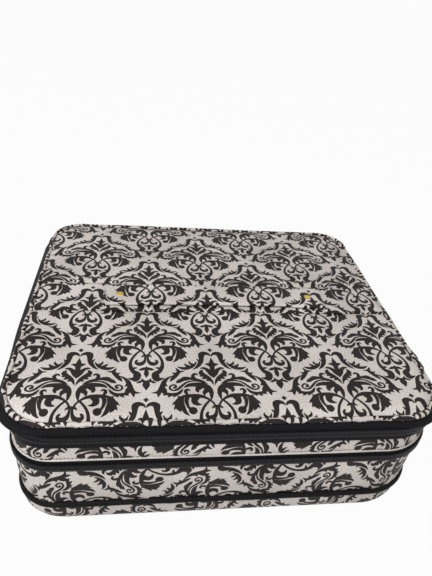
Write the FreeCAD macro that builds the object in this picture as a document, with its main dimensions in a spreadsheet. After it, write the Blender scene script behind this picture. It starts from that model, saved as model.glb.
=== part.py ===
"""Soft-sided makeup train case with a lid, a shallow tray and a deep base, each closed by a zip.

Millimetres, +Z up, front at -Y. The origin is the middle of the bottom face.
"""
import FreeCAD, Part
import math
import os

import Sketcher
from FreeCAD import Vector

doc = FreeCAD.newDocument("MakeupTrainCase")

# Driving dimensions. An inset is measured inwards from the case's outer rectangle.
SIZES = [
    ("case_width", 350.0),
    ("case_depth", 300.0),
    ("corner_radius", 50.0),
    ("fit_gap", 0.05),
    ("rear_cut", 140.0),
    ("pan_height", 30.0),
    ("pan_inset", 3.0),
    ("pan_edge_radius", 22.0),
    ("pan_thickness", 2.5),
    ("board_thickness", 2.9),
    ("welt_radius", 2.9),
    ("welt_inset", 3.5),
    ("base_wall_bottom", 36.0),
    ("base_wall_top", 77.0),
    ("base_wall_bottom_inset", 3.4),
    ("base_wall_top_inset", 2.4),
    ("base_wall_bulge", 1.3),
    ("wall_inner_inset", 5.0),
    ("stiffener_inset", 5.05),
    ("stiffener_depth", 2.45),
    ("base_stiffener_top", 81.0),
    ("lining_inset", 7.55),
    ("base_lining_floor", 5.6),
    ("base_lining_top", 82.0),
    ("base_lining_radius", 18.0),
    ("lining_thickness", 1.4),
    ("base_zip_level", 82.7),
    ("lid_zip_level", 113.5),
    ("zip_half_gap", 0.3),
    ("coil_height", 3.0),
    ("coil_nose_inset", 0.1),
    ("coil_shoulder_inset", 0.7),
    ("coil_nose_radius", 3.4),
    ("tape_inset", 2.0),
    ("tape_thickness", 1.0),
    ("hinge_half_gap", 1.2),
    ("tray_wall_bottom", 88.4),
    ("tray_wall_top", 104.0),
    ("tray_wall_inset", 2.2),
    ("tray_wall_bulge", 0.9),
    ("tray_floor_bottom", 84.2),
    ("tray_floor_thickness", 3.0),
    ("tray_stiffener_top", 111.5),
    ("tray_lining_top", 112.6),
    ("tray_lining_radius", 4.0),
    ("brush_panel_length", 280.0),
    ("brush_pocket_depth", 120.0),
    ("brush_pocket_y", -62.0),
    ("brush_elastic_depth", 32.0),
    ("brush_elastic_y", 58.0),
    ("brush_thickness", 1.4),
    ("brush_corner_radius", 8.0),
    ("lid_panel_inset", 8.4),
    ("lid_lining_bottom", 113.9),
    ("lid_lining_thickness", 1.05),
    ("lid_board_thickness", 2.4),
    ("lid_top", 128.0),
    ("lid_crown", 1.6),
    ("lid_tape_top", 122.2),
    ("lid_tape_lean", 2.5),
    ("lid_piping_radius", 2.15),
    ("lid_piping_inset", 6.2),
    ("lid_piping_level", 124.5),
    ("rim_foam_inset", 5.65),
    ("rim_foam_depth", 2.65),
    ("rim_foam_bottom", 114.4),
    ("rim_foam_top", 122.0),
    ("band_depth", 42.0),
    ("band_thickness", 0.9),
    ("band_end_inset", 9.0),
    ("strap_width", 30.0),
    ("strap_thickness", 2.6),
    ("strap_half_length", 104.0),
    ("strap_rise", 1.6),
    ("strap_touch_half", 78.0),
    ("grip_half_length", 58.0),
    ("grip_gap", 0.4),
    ("rivet_half_spacing", 90.0),
    ("rivet_cap_radius", 4.2),
    ("rivet_cap_rise", 1.9),
    ("rivet_seat_drop", 0.35),
    ("rivet_post_radius", 1.8),
    ("washer_radius", 5.0),
    ("washer_thickness", 0.9),
    ("divider_thickness", 5.0),
    ("divider_top", 66.0),
    ("divider_gap", 0.25),
    ("divider_edge_radius", 2.3),
    ("divider_long_y", 10.0),
    ("divider_front_x", 58.0),
    ("divider_rear_x", 72.0),
    ("slider_length", 11.0),
    ("slider_head_width", 8.6),
    ("slider_tail_width", 6.6),
    ("slider_plate_thickness", 1.3),
    ("slider_clearance", 0.35),
    ("slider_edge_radius", 0.5),
    ("slider_lip_depth", 1.5),
    ("slider_lip_height", 0.9),
    ("slider_meeting_gap", 0.6),
    ("lid_slider_meeting_y", -72.0),
    ("base_slider_meeting_y", -22.0),
    ("bail_stand_off", 3.5),
    ("bail_radius", 0.65),
    ("bail_half_length", 2.3),
    ("bail_leg_length", 1.4),
    ("bail_leg_half_height", 0.9),
    ("bail_leg_cap", 1.0),
    ("pull_eye_radius", 1.5),
    ("pull_eye_half_length", 1.95),
    ("pull_bore_clearance", 0.06),
    ("pull_length", 25.0),
    ("pull_neck_half", 1.9),
    ("pull_end_half", 3.8),
    ("pull_shoulder", 7.0),
    ("pull_thickness", 1.5),
    ("pull_window_radius", 1.4),
    ("pull_window_top", 12.0),
    ("pull_window_bottom", 18.5),
    ("pull_foot_swell", 1.25),
    ("pull_window_swell", 1.1),
]

sheet = doc.addObject("Spreadsheet::Sheet", "Sizes")
for row, (alias, value) in enumerate(SIZES, start=1):
    sheet.set(f"A{row}", alias)
    sheet.set(f"B{row}", str(value))
    sheet.setAlias(f"B{row}", alias)
doc.recompute()

# Expressions that several pieces share.
HALF_WIDTH = "Sizes.case_width / 2"
HALF_DEPTH = "Sizes.case_depth / 2"
CROWN_RADIUS = "(Sizes.case_width ^ 2 / (8 * Sizes.lid_crown))"
BAND_TOP = "(Sizes.lid_top + Sizes.band_thickness)"
ARCH_DROP = f"(Sizes.strap_rise + Sizes.strap_touch_half ^ 2 / (2 * {CROWN_RADIUS}))"
ARCH_RADIUS = f"(Sizes.strap_touch_half ^ 2 / (2 * {ARCH_DROP}))"
ARCH_TOP = f"({BAND_TOP} + Sizes.strap_rise)"
LINING_FLOOR_TOP = "(Sizes.base_lining_floor + Sizes.lining_thickness)"
LINING_INNER = "(Sizes.lining_inset + Sizes.lining_thickness)"

HOLLOW = "hollow"
SAME_POINT = 1e-6

parts = {}


def size_of(expression):
    """Value of an expression over the sheet's cells."""
    return float(sheet.evalExpression(expression))


def keep(obj, name):
    """Name a finished piece and list it for writing."""
    obj.Label = name
    parts[name] = obj
    return obj


def make_body(name):
    """New body, named after the piece it builds."""
    return doc.addObject("PartDesign::Body", f"Body_{name}")


def sketch_on(body, role, name, level=None):
    """Empty sketch on one of the body's own planes, raised along the plane's normal."""
    plane = next(feature for feature in body.Origin.OriginFeatures if feature.Role == role)
    sketch = body.newObject("Sketcher::SketchObject", name)
    sketch.AttachmentSupport = [(plane, "")]
    sketch.MapMode = "FlatFace"
    if level is not None:
        sketch.setExpression("AttachmentOffset.Base.z", level)
    return sketch


def bind(sketch, kind, arguments, expression):
    """Add one dimension to a sketch and bind it to the sheet."""
    index = sketch.addConstraint(Sketcher.Constraint(kind, *arguments, size_of(expression)))
    name = f"size_{index}"
    sketch.renameConstraint(index, name)
    sketch.setExpression(f"Constraints.{name}", expression)


def pin_point(sketch, geometry, position, across, up):
    """Hold one point of a sketch at two expressions from the sketch's origin."""
    bind(sketch, "DistanceX", (-1, 1, geometry, position), across)
    bind(sketch, "DistanceY", (-1, 1, geometry, position), up)


def arc_between(first, last, radius, side):
    """Short arc between two points, bulging to one side of the way from first to last."""
    chord = last - first
    half = chord.Length / 2
    across = Vector(chord.y, -chord.x, 0).normalize() * side
    centre = (first + last) / 2 - across * math.sqrt(radius ** 2 - half ** 2)
    return Part.Arc(first, centre + across * radius, last)


def outline(sketch, points):
    """Closed outline through points of (across, up).

    A third expression is the radius of an arc that leaves the point and bulges to the right of the
    way along, and HOLLOW after it makes that arc bulge to the left.
    """
    places = [Vector(size_of(point[0]), size_of(point[1]), 0) for point in points]
    ends = []
    for index, point in enumerate(points):
        first = places[index]
        last = places[(index + 1) % len(places)]
        if len(point) == 2:
            ends.append((sketch.addGeometry(Part.LineSegment(first, last)), 1, 2))
            continue
        side = -1 if HOLLOW in point else 1
        geometry = sketch.addGeometry(arc_between(first, last, size_of(point[2]), side))
        starts_first = (sketch.getPoint(geometry, 1) - first).Length < SAME_POINT
        ends.append((geometry, 1, 2) if starts_first else (geometry, 2, 1))
        bind(sketch, "Radius", (geometry,), point[2])
    for index, (geometry, start, _) in enumerate(ends):
        before, _, finish = ends[index - 1]
        sketch.addConstraint(Sketcher.Constraint("Coincident", before, finish, geometry, start))
        pin_point(sketch, geometry, start, points[index][0], points[index][1])


def rounded_loop(sketch, half_across, half_up, radius):
    """Closed rounded rectangle about the sketch's origin, starting along its far straight."""
    a, b, r = (size_of(expression) for expression in (half_across, half_up, radius))
    corners = [(-1, 1), (-1, -1), (1, -1), (1, 1)]
    first = len(sketch.Geometry)
    for index, (sx, sy) in enumerate(corners):
        before_x, before_y = corners[index - 1]
        centre = Vector(sx * (a - r), sy * (b - r), 0)
        before = Vector(before_x * (a - r), before_y * (b - r), 0)
        turn = math.pi / 2 * (index + 1)
        outwards = Vector(math.cos(turn), math.sin(turn), 0) * r
        sketch.addGeometry(Part.LineSegment(before + outwards, centre + outwards))
        circle = Part.Circle(centre, Vector(0, 0, 1), r)
        sketch.addGeometry(Part.ArcOfCircle(circle, turn, turn + math.pi / 2))
    for index in range(4):
        line = first + 2 * index
        arc = line + 1
        following = first + (2 * index + 2) % 8
        sketch.addConstraint(Sketcher.Constraint("Tangent", line, 2, arc, 1))
        sketch.addConstraint(Sketcher.Constraint("Tangent", arc, 2, following, 1))
        sketch.addConstraint(Sketcher.Constraint("Vertical" if index % 2 else "Horizontal", line))
        if index:
            sketch.addConstraint(Sketcher.Constraint("Equal", first + 1, arc))
    bind(sketch, "Radius", (first + 1,), radius)
    bind(sketch, "DistanceY", (-1, 1, first, 1), half_up)
    bind(sketch, "DistanceX", (-1, 1, first + 2, 1), f"-({half_across})")
    bind(sketch, "DistanceY", (-1, 1, first + 4, 1), f"-({half_up})")
    bind(sketch, "DistanceX", (-1, 1, first + 6, 1), half_across)


def inset_loop(sketch, inset):
    """The case's plan outline, drawn inwards by an inset."""
    rounded_loop(
        sketch,
        f"{HALF_WIDTH} - ({inset})",
        f"{HALF_DEPTH} - ({inset})",
        f"Sizes.corner_radius - ({inset})",
    )


def pad(body, sketch, name, length, symmetric=False):
    """Pad a sketch by an expression."""
    feature = body.newObject("PartDesign::Pad", name)
    feature.Profile = sketch
    feature.setExpression("Length", length)
    feature.SideType = "Symmetric" if symmetric else "One side"
    return feature


def pocket_through(body, sketch, name):
    """Cut a sketch right through, both ways."""
    feature = body.newObject("PartDesign::Pocket", name)
    feature.Profile = sketch
    feature.SideType = "Symmetric"
    feature.Type = "ThroughAll"
    return feature


def fillet_edges(body, feature, name, radius, wanted):
    """Round those edges of a feature for which wanted(edge) is true."""
    doc.recompute()
    names = [f"Edge{i}" for i, edge in enumerate(feature.Shape.Edges, start=1) if wanted(edge)]
    rounded = body.newObject("PartDesign::Fillet", name)
    rounded.Base = (feature, names)
    rounded.setExpression("Radius", radius)
    return rounded


def panel(name, inset, bottom, thickness):
    """Flat panel of the case's plan shape."""
    body = make_body(name)
    sketch = sketch_on(body, "XY_Plane", f"Plan_{name}", bottom)
    inset_loop(sketch, inset)
    pad(body, sketch, f"Pad_{name}", thickness)
    return body


def frame(name, inset, depth, bottom, top):
    """Upright ring of the case's plan shape."""
    body = make_body(name)
    sketch = sketch_on(body, "XY_Plane", f"Plan_{name}", bottom)
    inset_loop(sketch, inset)
    inset_loop(sketch, f"{inset} + {depth}")
    pad(body, sketch, f"Pad_{name}", f"{top} - ({bottom})")
    return body


def sweep_round(body, name, draw_profile):
    """Sweep a profile, drawn as (Y, Z), round the case's outer rectangle."""
    profile = sketch_on(body, "YZ_Plane", f"Profile_{name}", f"{HALF_WIDTH} - Sizes.corner_radius")
    draw_profile(profile)
    spine = sketch_on(body, "XY_Plane", f"Spine_{name}")
    inset_loop(spine, "0")
    sweep = body.newObject("PartDesign::AdditivePipe", f"Sweep_{name}")
    sweep.Profile = profile
    sweep.Spine = spine
    return sweep


def at_inset(inset, level):
    """Profile point at an inset from the case's rear face and a height."""
    return (f"{HALF_DEPTH} - ({inset})", level)


def ring(name, points):
    """Closed ring with a profile of straight and arced sides."""
    body = make_body(name)
    sweep_round(body, name, lambda sketch: outline(sketch, points))
    return body


def cut_rear(body, name, keep_front):
    """Keep the zip's run or the hinge's stretch of a ring."""
    sketch = sketch_on(body, "XY_Plane", f"Cut_{name}")
    near = "Sizes.rear_cut" if keep_front else "Sizes.rear_cut + Sizes.fit_gap"
    far = "Sizes.case_depth" if keep_front else "-Sizes.case_depth"
    wide = "Sizes.case_width"
    outline(sketch, [(f"-{wide}", near), (wide, near), (wide, far), (f"-{wide}", far)])
    pocket_through(body, sketch, f"RearCut_{name}")


def cord_ring(name, inset, level, radius):
    """Round piping that follows the case's plan outline."""
    body = make_body(name)

    def draw_circle(sketch):
        across, up = at_inset(inset, level)
        centre = Vector(size_of(across), size_of(up), 0)
        circle = sketch.addGeometry(Part.Circle(centre, Vector(0, 0, 1), size_of(radius)))
        pin_point(sketch, circle, 3, across, up)
        bind(sketch, "Radius", (circle,), radius)

    sweep_round(body, name, draw_circle)
    return body


def tub(name, inset, thickness, floor, top, radius):
    """Open tub of the case's plan shape with a rounded bottom edge."""
    curb = f"{inset} + {radius}"
    inner = f"{inset} + {thickness}"
    bend = f"{floor} + {radius}"
    body = ring(
        name,
        [
            at_inset(inset, top),
            at_inset(inner, top),
            at_inset(inner, bend) + (f"{radius} - {thickness}", HOLLOW),
            at_inset(curb, f"{floor} + {thickness}"),
            at_inset(curb, floor) + (radius,),
            at_inset(inset, bend),
        ],
    )
    sketch = sketch_on(body, "XY_Plane", f"Floor_{name}", floor)
    inset_loop(sketch, curb)
    pad(body, sketch, f"FloorPad_{name}", thickness)
    return body


def bulged_wall(name, bottom, top, bottom_inset, top_inset, bulge):
    """Padded wall that swells outwards between its two seams."""
    chord = f"(({top} - {bottom}) ^ 2 + ({top_inset} - {bottom_inset}) ^ 2)"
    swell = f"{chord} / (8 * {bulge}) + {bulge} / 2"
    return ring(
        name,
        [
            at_inset(bottom_inset, bottom) + (swell,),
            at_inset(top_inset, top),
            at_inset("Sizes.wall_inner_inset", top),
            at_inset("Sizes.wall_inner_inset", bottom),
        ],
    )


def tape(name, low, high, low_inset, high_inset, front):
    """Woven tape or hinge leaf between two heights, leaning from one inset to another."""
    body = ring(
        name,
        [
            at_inset(low_inset, low),
            at_inset(high_inset, high),
            at_inset(f"{high_inset} + Sizes.tape_thickness", high),
            at_inset(f"{low_inset} + Sizes.tape_thickness", low),
        ],
    )
    cut_rear(body, name, front)
    return keep(body, name)


def coil(name, edge, far, lean):
    """Zip coil from the zip's line to its far side, rounded on its outer face."""
    nose = at_inset("Sizes.coil_nose_inset", edge)
    shoulder = at_inset(f"Sizes.coil_shoulder_inset + {lean}", far)
    near_back = at_inset("Sizes.tape_inset", edge)
    far_back = at_inset(f"Sizes.tape_inset + {lean}", far)
    swell = ("Sizes.coil_nose_radius",)
    if size_of(far) > size_of(edge):
        points = [nose + swell, shoulder, far_back, near_back]
    else:
        points = [shoulder + swell, nose, near_back, far_back]
    body = ring(name, points)
    cut_rear(body, name, True)
    return keep(body, name)


# Base: printed pan with a rounded edge, black welt, padded wall, stiffeners and lining.
keep(
    tub(
        "base_pan",
        "Sizes.pan_inset",
        "Sizes.pan_thickness",
        "0",
        "Sizes.pan_height",
        "Sizes.pan_edge_radius",
    ),
    "base_pan",
)
keep(
    cord_ring(
        "base_welt",
        "Sizes.welt_inset",
        "(Sizes.pan_height + Sizes.base_wall_bottom) / 2",
        "Sizes.welt_radius",
    ),
    "base_welt",
)
keep(
    bulged_wall(
        "base_wall",
        "Sizes.base_wall_bottom",
        "Sizes.base_wall_top",
        "Sizes.base_wall_bottom_inset",
        "Sizes.base_wall_top_inset",
        "Sizes.base_wall_bulge",
    ),
    "base_wall",
)
keep(
    frame(
        "base_wall_board",
        "Sizes.stiffener_inset",
        "Sizes.stiffener_depth",
        "Sizes.base_wall_bottom + Sizes.fit_gap",
        "Sizes.base_stiffener_top",
    ),
    "base_wall_board",
)
keep(
    panel(
        "base_board",
        "Sizes.pan_inset + Sizes.pan_edge_radius + Sizes.fit_gap",
        "Sizes.pan_thickness + Sizes.fit_gap",
        "Sizes.board_thickness",
    ),
    "base_board",
)
keep(
    tub(
        "base_lining",
        "Sizes.lining_inset",
        "Sizes.lining_thickness",
        "Sizes.base_lining_floor",
        "Sizes.base_lining_top",
        "Sizes.base_lining_radius",
    ),
    "base_lining",
)

# Dividers: padded boards with round tops, shaped to the lining's rounded bottom edge.
DIVIDER_FLOOR = f"({LINING_FLOOR_TOP} + Sizes.divider_gap)"
DIVIDER_BEND = "(Sizes.base_lining_radius - Sizes.lining_thickness)"
LONG_REACH = f"({HALF_WIDTH} - {LINING_INNER} - Sizes.divider_gap)"
CROSS_REACH = f"({HALF_DEPTH} - {LINING_INNER} - Sizes.divider_gap)"
CROSS_START = "(Sizes.divider_thickness / 2 + Sizes.divider_gap)"


def divider(name, plane, points, axis, place):
    """Padded divider, drawn on an upright plane and moved along one axis to its place."""
    body = make_body(name)
    sketch = sketch_on(body, plane, f"Side_{name}")
    outline(sketch, points)
    board = pad(body, sketch, f"Pad_{name}", "Sizes.divider_thickness", symmetric=True)
    top = size_of("Sizes.divider_top")
    long_edge = 2 * size_of("Sizes.divider_thickness")

    def along_top(edge):
        return edge.Length > long_edge and edge.BoundBox.ZMin > top - SAME_POINT

    fillet_edges(body, board, f"Round_{name}", "Sizes.divider_edge_radius", along_top)
    body.setExpression(f"Placement.Base.{axis}", place)
    return keep(body, name)


divider(
    "divider_long",
    "XZ_Plane",
    [
        (f"-{LONG_REACH}", "Sizes.divider_top"),
        (f"-{LONG_REACH}", f"{DIVIDER_FLOOR} + {DIVIDER_BEND}", DIVIDER_BEND),
        (f"-{LONG_REACH} + {DIVIDER_BEND}", DIVIDER_FLOOR),
        (f"{LONG_REACH} - {DIVIDER_BEND}", DIVIDER_FLOOR, DIVIDER_BEND),
        (LONG_REACH, f"{DIVIDER_FLOOR} + {DIVIDER_BEND}"),
        (LONG_REACH, "Sizes.divider_top"),
    ],
    "y",
    "Sizes.divider_long_y",
)
FRONT_END = f"(Sizes.divider_long_y - {CROSS_START})"
REAR_END = f"(Sizes.divider_long_y + {CROSS_START})"
for side, sign in (("left", "-"), ("right", "")):
    divider(
        f"divider_front_{side}",
        "YZ_Plane",
        [
            (f"-{CROSS_REACH}", "Sizes.divider_top"),
            (f"-{CROSS_REACH}", f"{DIVIDER_FLOOR} + {DIVIDER_BEND}", DIVIDER_BEND),
            (f"-{CROSS_REACH} + {DIVIDER_BEND}", DIVIDER_FLOOR),
            (FRONT_END, DIVIDER_FLOOR),
            (FRONT_END, "Sizes.divider_top"),
        ],
        "x",
        f"{sign}Sizes.divider_front_x",
    )
    divider(
        f"divider_rear_{side}",
        "YZ_Plane",
        [
            (REAR_END, "Sizes.divider_top"),
            (REAR_END, DIVIDER_FLOOR),
            (f"{CROSS_REACH} - {DIVIDER_BEND}", DIVIDER_FLOOR, DIVIDER_BEND),
            (CROSS_REACH, f"{DIVIDER_FLOOR} + {DIVIDER_BEND}"),
            (CROSS_REACH, "Sizes.divider_top"),
        ],
        "x",
        f"{sign}Sizes.divider_rear_x",
    )

# Base zip: the base carries the lower half and the tray the upper half.
BASE_ZIP_LOW = "(Sizes.base_zip_level - Sizes.zip_half_gap)"
BASE_ZIP_HIGH = "(Sizes.base_zip_level + Sizes.zip_half_gap)"
UPRIGHT = "Sizes.tape_inset"
BASE_TAPE_FOOT = "(Sizes.base_wall_top + Sizes.fit_gap)"
TRAY_TAPE_HEAD = "(Sizes.tray_wall_bottom - Sizes.fit_gap)"
tape("base_zip_lower_tape", BASE_TAPE_FOOT, BASE_ZIP_LOW, UPRIGHT, UPRIGHT, True)
coil("base_zip_lower_coil", BASE_ZIP_LOW, f"{BASE_ZIP_LOW} - Sizes.coil_height", "0")
tape("base_zip_upper_tape", BASE_ZIP_HIGH, TRAY_TAPE_HEAD, UPRIGHT, UPRIGHT, True)
coil("base_zip_upper_coil", BASE_ZIP_HIGH, f"{BASE_ZIP_HIGH} + Sizes.coil_height", "0")

# Rear fabric hinge between base and tray, a leaf on each side of the fold.
BASE_FOLD_LOW = "(Sizes.base_zip_level - Sizes.hinge_half_gap)"
BASE_FOLD_HIGH = "(Sizes.base_zip_level + Sizes.hinge_half_gap)"
tape("base_hinge_leaf", BASE_TAPE_FOOT, BASE_FOLD_LOW, UPRIGHT, UPRIGHT, False)
tape("tray_lower_hinge_leaf", BASE_FOLD_HIGH, TRAY_TAPE_HEAD, UPRIGHT, UPRIGHT, False)

# Tray: padded wall, stiffener, floor and lining, with a brush holder sewn flat on the floor.
TRAY_FLOOR_TOP = "(Sizes.tray_floor_bottom + Sizes.tray_floor_thickness + Sizes.fit_gap)"
BRUSH_LEVEL = f"({TRAY_FLOOR_TOP} + Sizes.lining_thickness + Sizes.fit_gap)"
keep(
    bulged_wall(
        "tray_wall",
        "Sizes.tray_wall_bottom",
        "Sizes.tray_wall_top",
        "Sizes.tray_wall_inset",
        "Sizes.tray_wall_inset",
        "Sizes.tray_wall_bulge",
    ),
    "tray_wall",
)
keep(
    panel(
        "tray_floor",
        "Sizes.stiffener_inset",
        "Sizes.tray_floor_bottom",
        "Sizes.tray_floor_thickness",
    ),
    "tray_floor",
)
keep(
    frame(
        "tray_board",
        "Sizes.stiffener_inset",
        "Sizes.stiffener_depth",
        TRAY_FLOOR_TOP,
        "Sizes.tray_stiffener_top",
    ),
    "tray_board",
)
keep(
    tub(
        "tray_lining",
        "Sizes.lining_inset",
        "Sizes.lining_thickness",
        TRAY_FLOOR_TOP,
        "Sizes.tray_lining_top",
        "Sizes.tray_lining_radius",
    ),
    "tray_lining",
)
for name in ("brush_pocket", "brush_elastic"):
    body = make_body(name)
    sketch = sketch_on(body, "XY_Plane", f"Plan_{name}", BRUSH_LEVEL)
    rounded_loop(
        sketch,
        "Sizes.brush_panel_length / 2",
        f"Sizes.{name}_depth / 2",
        "Sizes.brush_corner_radius",
    )
    pad(body, sketch, f"Pad_{name}", "Sizes.brush_thickness")
    body.setExpression("Placement.Base.y", f"Sizes.{name}_y")
    keep(body, name)

# Lid zip: the tray carries the lower half, and the lid's half leans in to the lid's piping.
LID_ZIP_LOW = "(Sizes.lid_zip_level - Sizes.zip_half_gap)"
LID_ZIP_HIGH = "(Sizes.lid_zip_level + Sizes.zip_half_gap)"
LID_FOLD_LOW = "(Sizes.lid_zip_level - Sizes.hinge_half_gap)"
LID_FOLD_HIGH = "(Sizes.lid_zip_level + Sizes.hinge_half_gap)"
TRAY_TAPE_FOOT = "(Sizes.tray_wall_top + Sizes.fit_gap)"
LEANT = "(Sizes.tape_inset + Sizes.lid_tape_lean)"
LEAN_RATE = f"(Sizes.lid_tape_lean / (Sizes.lid_tape_top - {LID_ZIP_HIGH}))"
FOLD_INSET = f"(Sizes.tape_inset + {LEAN_RATE} * ({LID_FOLD_HIGH} - {LID_ZIP_HIGH}))"
tape("lid_zip_lower_tape", TRAY_TAPE_FOOT, LID_ZIP_LOW, UPRIGHT, UPRIGHT, True)
coil("lid_zip_lower_coil", LID_ZIP_LOW, f"{LID_ZIP_LOW} - Sizes.coil_height", "0")
tape("lid_zip_upper_tape", LID_ZIP_HIGH, "Sizes.lid_tape_top", UPRIGHT, LEANT, True)
coil(
    "lid_zip_upper_coil",
    LID_ZIP_HIGH,
    f"{LID_ZIP_HIGH} + Sizes.coil_height",
    f"{LEAN_RATE} * Sizes.coil_height",
)

# Rear fabric hinge between tray and lid.
tape("tray_upper_hinge_leaf", TRAY_TAPE_FOOT, LID_FOLD_LOW, UPRIGHT, UPRIGHT, False)
tape("lid_hinge_leaf", LID_FOLD_HIGH, "Sizes.lid_tape_top", FOLD_INSET, LEANT, False)

# Lid: lining, stiffener, foam rim, domed cover, piping and the strip under the handle.
LID_BOARD_BOTTOM = "(Sizes.lid_lining_bottom + Sizes.lid_lining_thickness + Sizes.fit_gap)"
LID_COVER_BOTTOM = f"({LID_BOARD_BOTTOM} + Sizes.lid_board_thickness + Sizes.fit_gap)"
RIVET_SEAT = (
    f"({ARCH_TOP} - {ARCH_RADIUS} - Sizes.rivet_seat_drop"
    f" + sqrt(({ARCH_RADIUS} + Sizes.strap_thickness) ^ 2 - Sizes.rivet_half_spacing ^ 2))"
)


def crown_ball(name, top):
    """Large ball whose top is the lid's crown."""
    ball = doc.addObject("Part::Sphere", name)
    radius = f"({CROWN_RADIUS} + {top} - Sizes.lid_top)"
    ball.setExpression("Radius", radius)
    ball.setExpression("Placement.Base.z", f"{top} - {radius}")
    return ball


def rivet_cylinders(name, radius, bottom, height):
    """One upright cylinder at each rivet, joined as one cutter or one pair of pieces."""
    pair = []
    for side, sign in (("left", "-"), ("right", "")):
        cylinder = doc.addObject("Part::Cylinder", f"{name}_{side}")
        cylinder.setExpression("Radius", radius)
        cylinder.setExpression("Height", height)
        cylinder.setExpression("Placement.Base.x", f"{sign}Sizes.rivet_half_spacing")
        cylinder.setExpression("Placement.Base.z", bottom)
        pair.append(cylinder)
    group = doc.addObject("Part::MultiFuse", name)
    group.Shapes = pair
    return group


def boolean(kind, name, base, tool):
    """Cut or common of two objects."""
    result = doc.addObject(f"Part::{kind}", name)
    result.Base = base
    result.Tool = tool
    return result


lid_ball = crown_ball("LidCrown", "Sizes.lid_top")
band_ball = crown_ball("BandCrown", BAND_TOP)
rivet_posts = rivet_cylinders(
    "RivetPosts", "Sizes.rivet_post_radius", LID_BOARD_BOTTOM, "Sizes.corner_radius"
)
washer_seats = rivet_cylinders(
    "WasherSeats",
    "Sizes.washer_radius + Sizes.fit_gap",
    LID_BOARD_BOTTOM,
    "Sizes.washer_thickness + Sizes.fit_gap",
)
cap_seats = rivet_cylinders(
    "CapSeats", "Sizes.rivet_cap_radius + Sizes.fit_gap", RIVET_SEAT, "Sizes.corner_radius"
)

keep(
    panel(
        "lid_lining",
        "Sizes.lid_panel_inset",
        "Sizes.lid_lining_bottom",
        "Sizes.lid_lining_thickness",
    ),
    "lid_lining",
)
board_blank = panel(
    "lid_board", "Sizes.lid_panel_inset", LID_BOARD_BOTTOM, "Sizes.lid_board_thickness"
)
board_drilled = boolean("Cut", "LidBoardDrilled", board_blank, rivet_posts)
keep(boolean("Cut", "LidBoard", board_drilled, washer_seats), "lid_board")
keep(
    frame(
        "lid_rim_foam",
        "Sizes.rim_foam_inset",
        "Sizes.rim_foam_depth",
        "Sizes.rim_foam_bottom",
        "Sizes.rim_foam_top",
    ),
    "lid_rim_foam",
)
cover_blank = panel(
    "lid_cover", "Sizes.lid_panel_inset", LID_COVER_BOTTOM, f"{BAND_TOP} - {LID_COVER_BOTTOM}"
)
cover_domed = boolean("Common", "LidCoverDomed", cover_blank, lid_ball)
keep(boolean("Cut", "LidCover", cover_domed, rivet_posts), "lid_cover")
keep(
    cord_ring(
        "lid_piping",
        "Sizes.lid_piping_inset",
        "Sizes.lid_piping_level",
        "Sizes.lid_piping_radius",
    ),
    "lid_piping",
)
strip = doc.addObject("Part::Box", "BandStrip")
strip.setExpression("Length", "Sizes.case_width - 2 * Sizes.band_end_inset")
strip.setExpression("Width", "Sizes.band_depth")
strip.setExpression("Height", "2 * Sizes.lid_crown + Sizes.band_thickness")
strip.setExpression("Placement.Base.x", f"Sizes.band_end_inset - {HALF_WIDTH}")
strip.setExpression("Placement.Base.y", "-Sizes.band_depth / 2")
strip.setExpression("Placement.Base.z", "Sizes.lid_top - 2 * Sizes.lid_crown")
strip_top = boolean("Common", "BandOuter", strip, band_ball)
strip_shell = boolean("Cut", "BandShell", strip_top, lid_ball)
keep(boolean("Cut", "LidBand", strip_shell, rivet_posts), "lid_band")

# Carrying strap: a low arch whose tails lie on the band under the rivets.
ARCH_CENTRE = f"({ARCH_TOP} - {ARCH_RADIUS})"
ARCH_OUTER = f"({ARCH_RADIUS} + Sizes.strap_thickness)"


def strap_piece(name, start, finish):
    """Stretch of the strap between two places across the lid."""
    body = make_body(name)
    sketch = sketch_on(body, "XZ_Plane", f"Side_{name}")

    def on_arch(across, radius):
        return (across, f"{ARCH_CENTRE} + sqrt({radius} ^ 2 - ({across}) ^ 2)")

    outline(
        sketch,
        [
            on_arch(finish, ARCH_OUTER) + (ARCH_OUTER,),
            on_arch(start, ARCH_OUTER),
            on_arch(start, ARCH_RADIUS) + (ARCH_RADIUS, HOLLOW),
            on_arch(finish, ARCH_RADIUS),
        ],
    )
    pad(body, sketch, f"Pad_{name}", "Sizes.strap_width", symmetric=True)
    return body


GRIP_REACH = "(Sizes.grip_half_length - Sizes.grip_gap)"
keep(strap_piece("handle_grip", f"-{GRIP_REACH}", GRIP_REACH), "handle_grip")
for name, start, finish in (
    ("handle_tail_left", "-Sizes.strap_half_length", "-Sizes.grip_half_length"),
    ("handle_tail_right", "Sizes.grip_half_length", "Sizes.strap_half_length"),
):
    tail = strap_piece(name, start, finish)
    seated = boolean("Cut", f"Seated_{name}", tail, band_ball)
    drilled = boolean("Cut", f"Drilled_{name}", seated, rivet_posts)
    keep(boolean("Cut", f"Capped_{name}", drilled, cap_seats), name)

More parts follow.
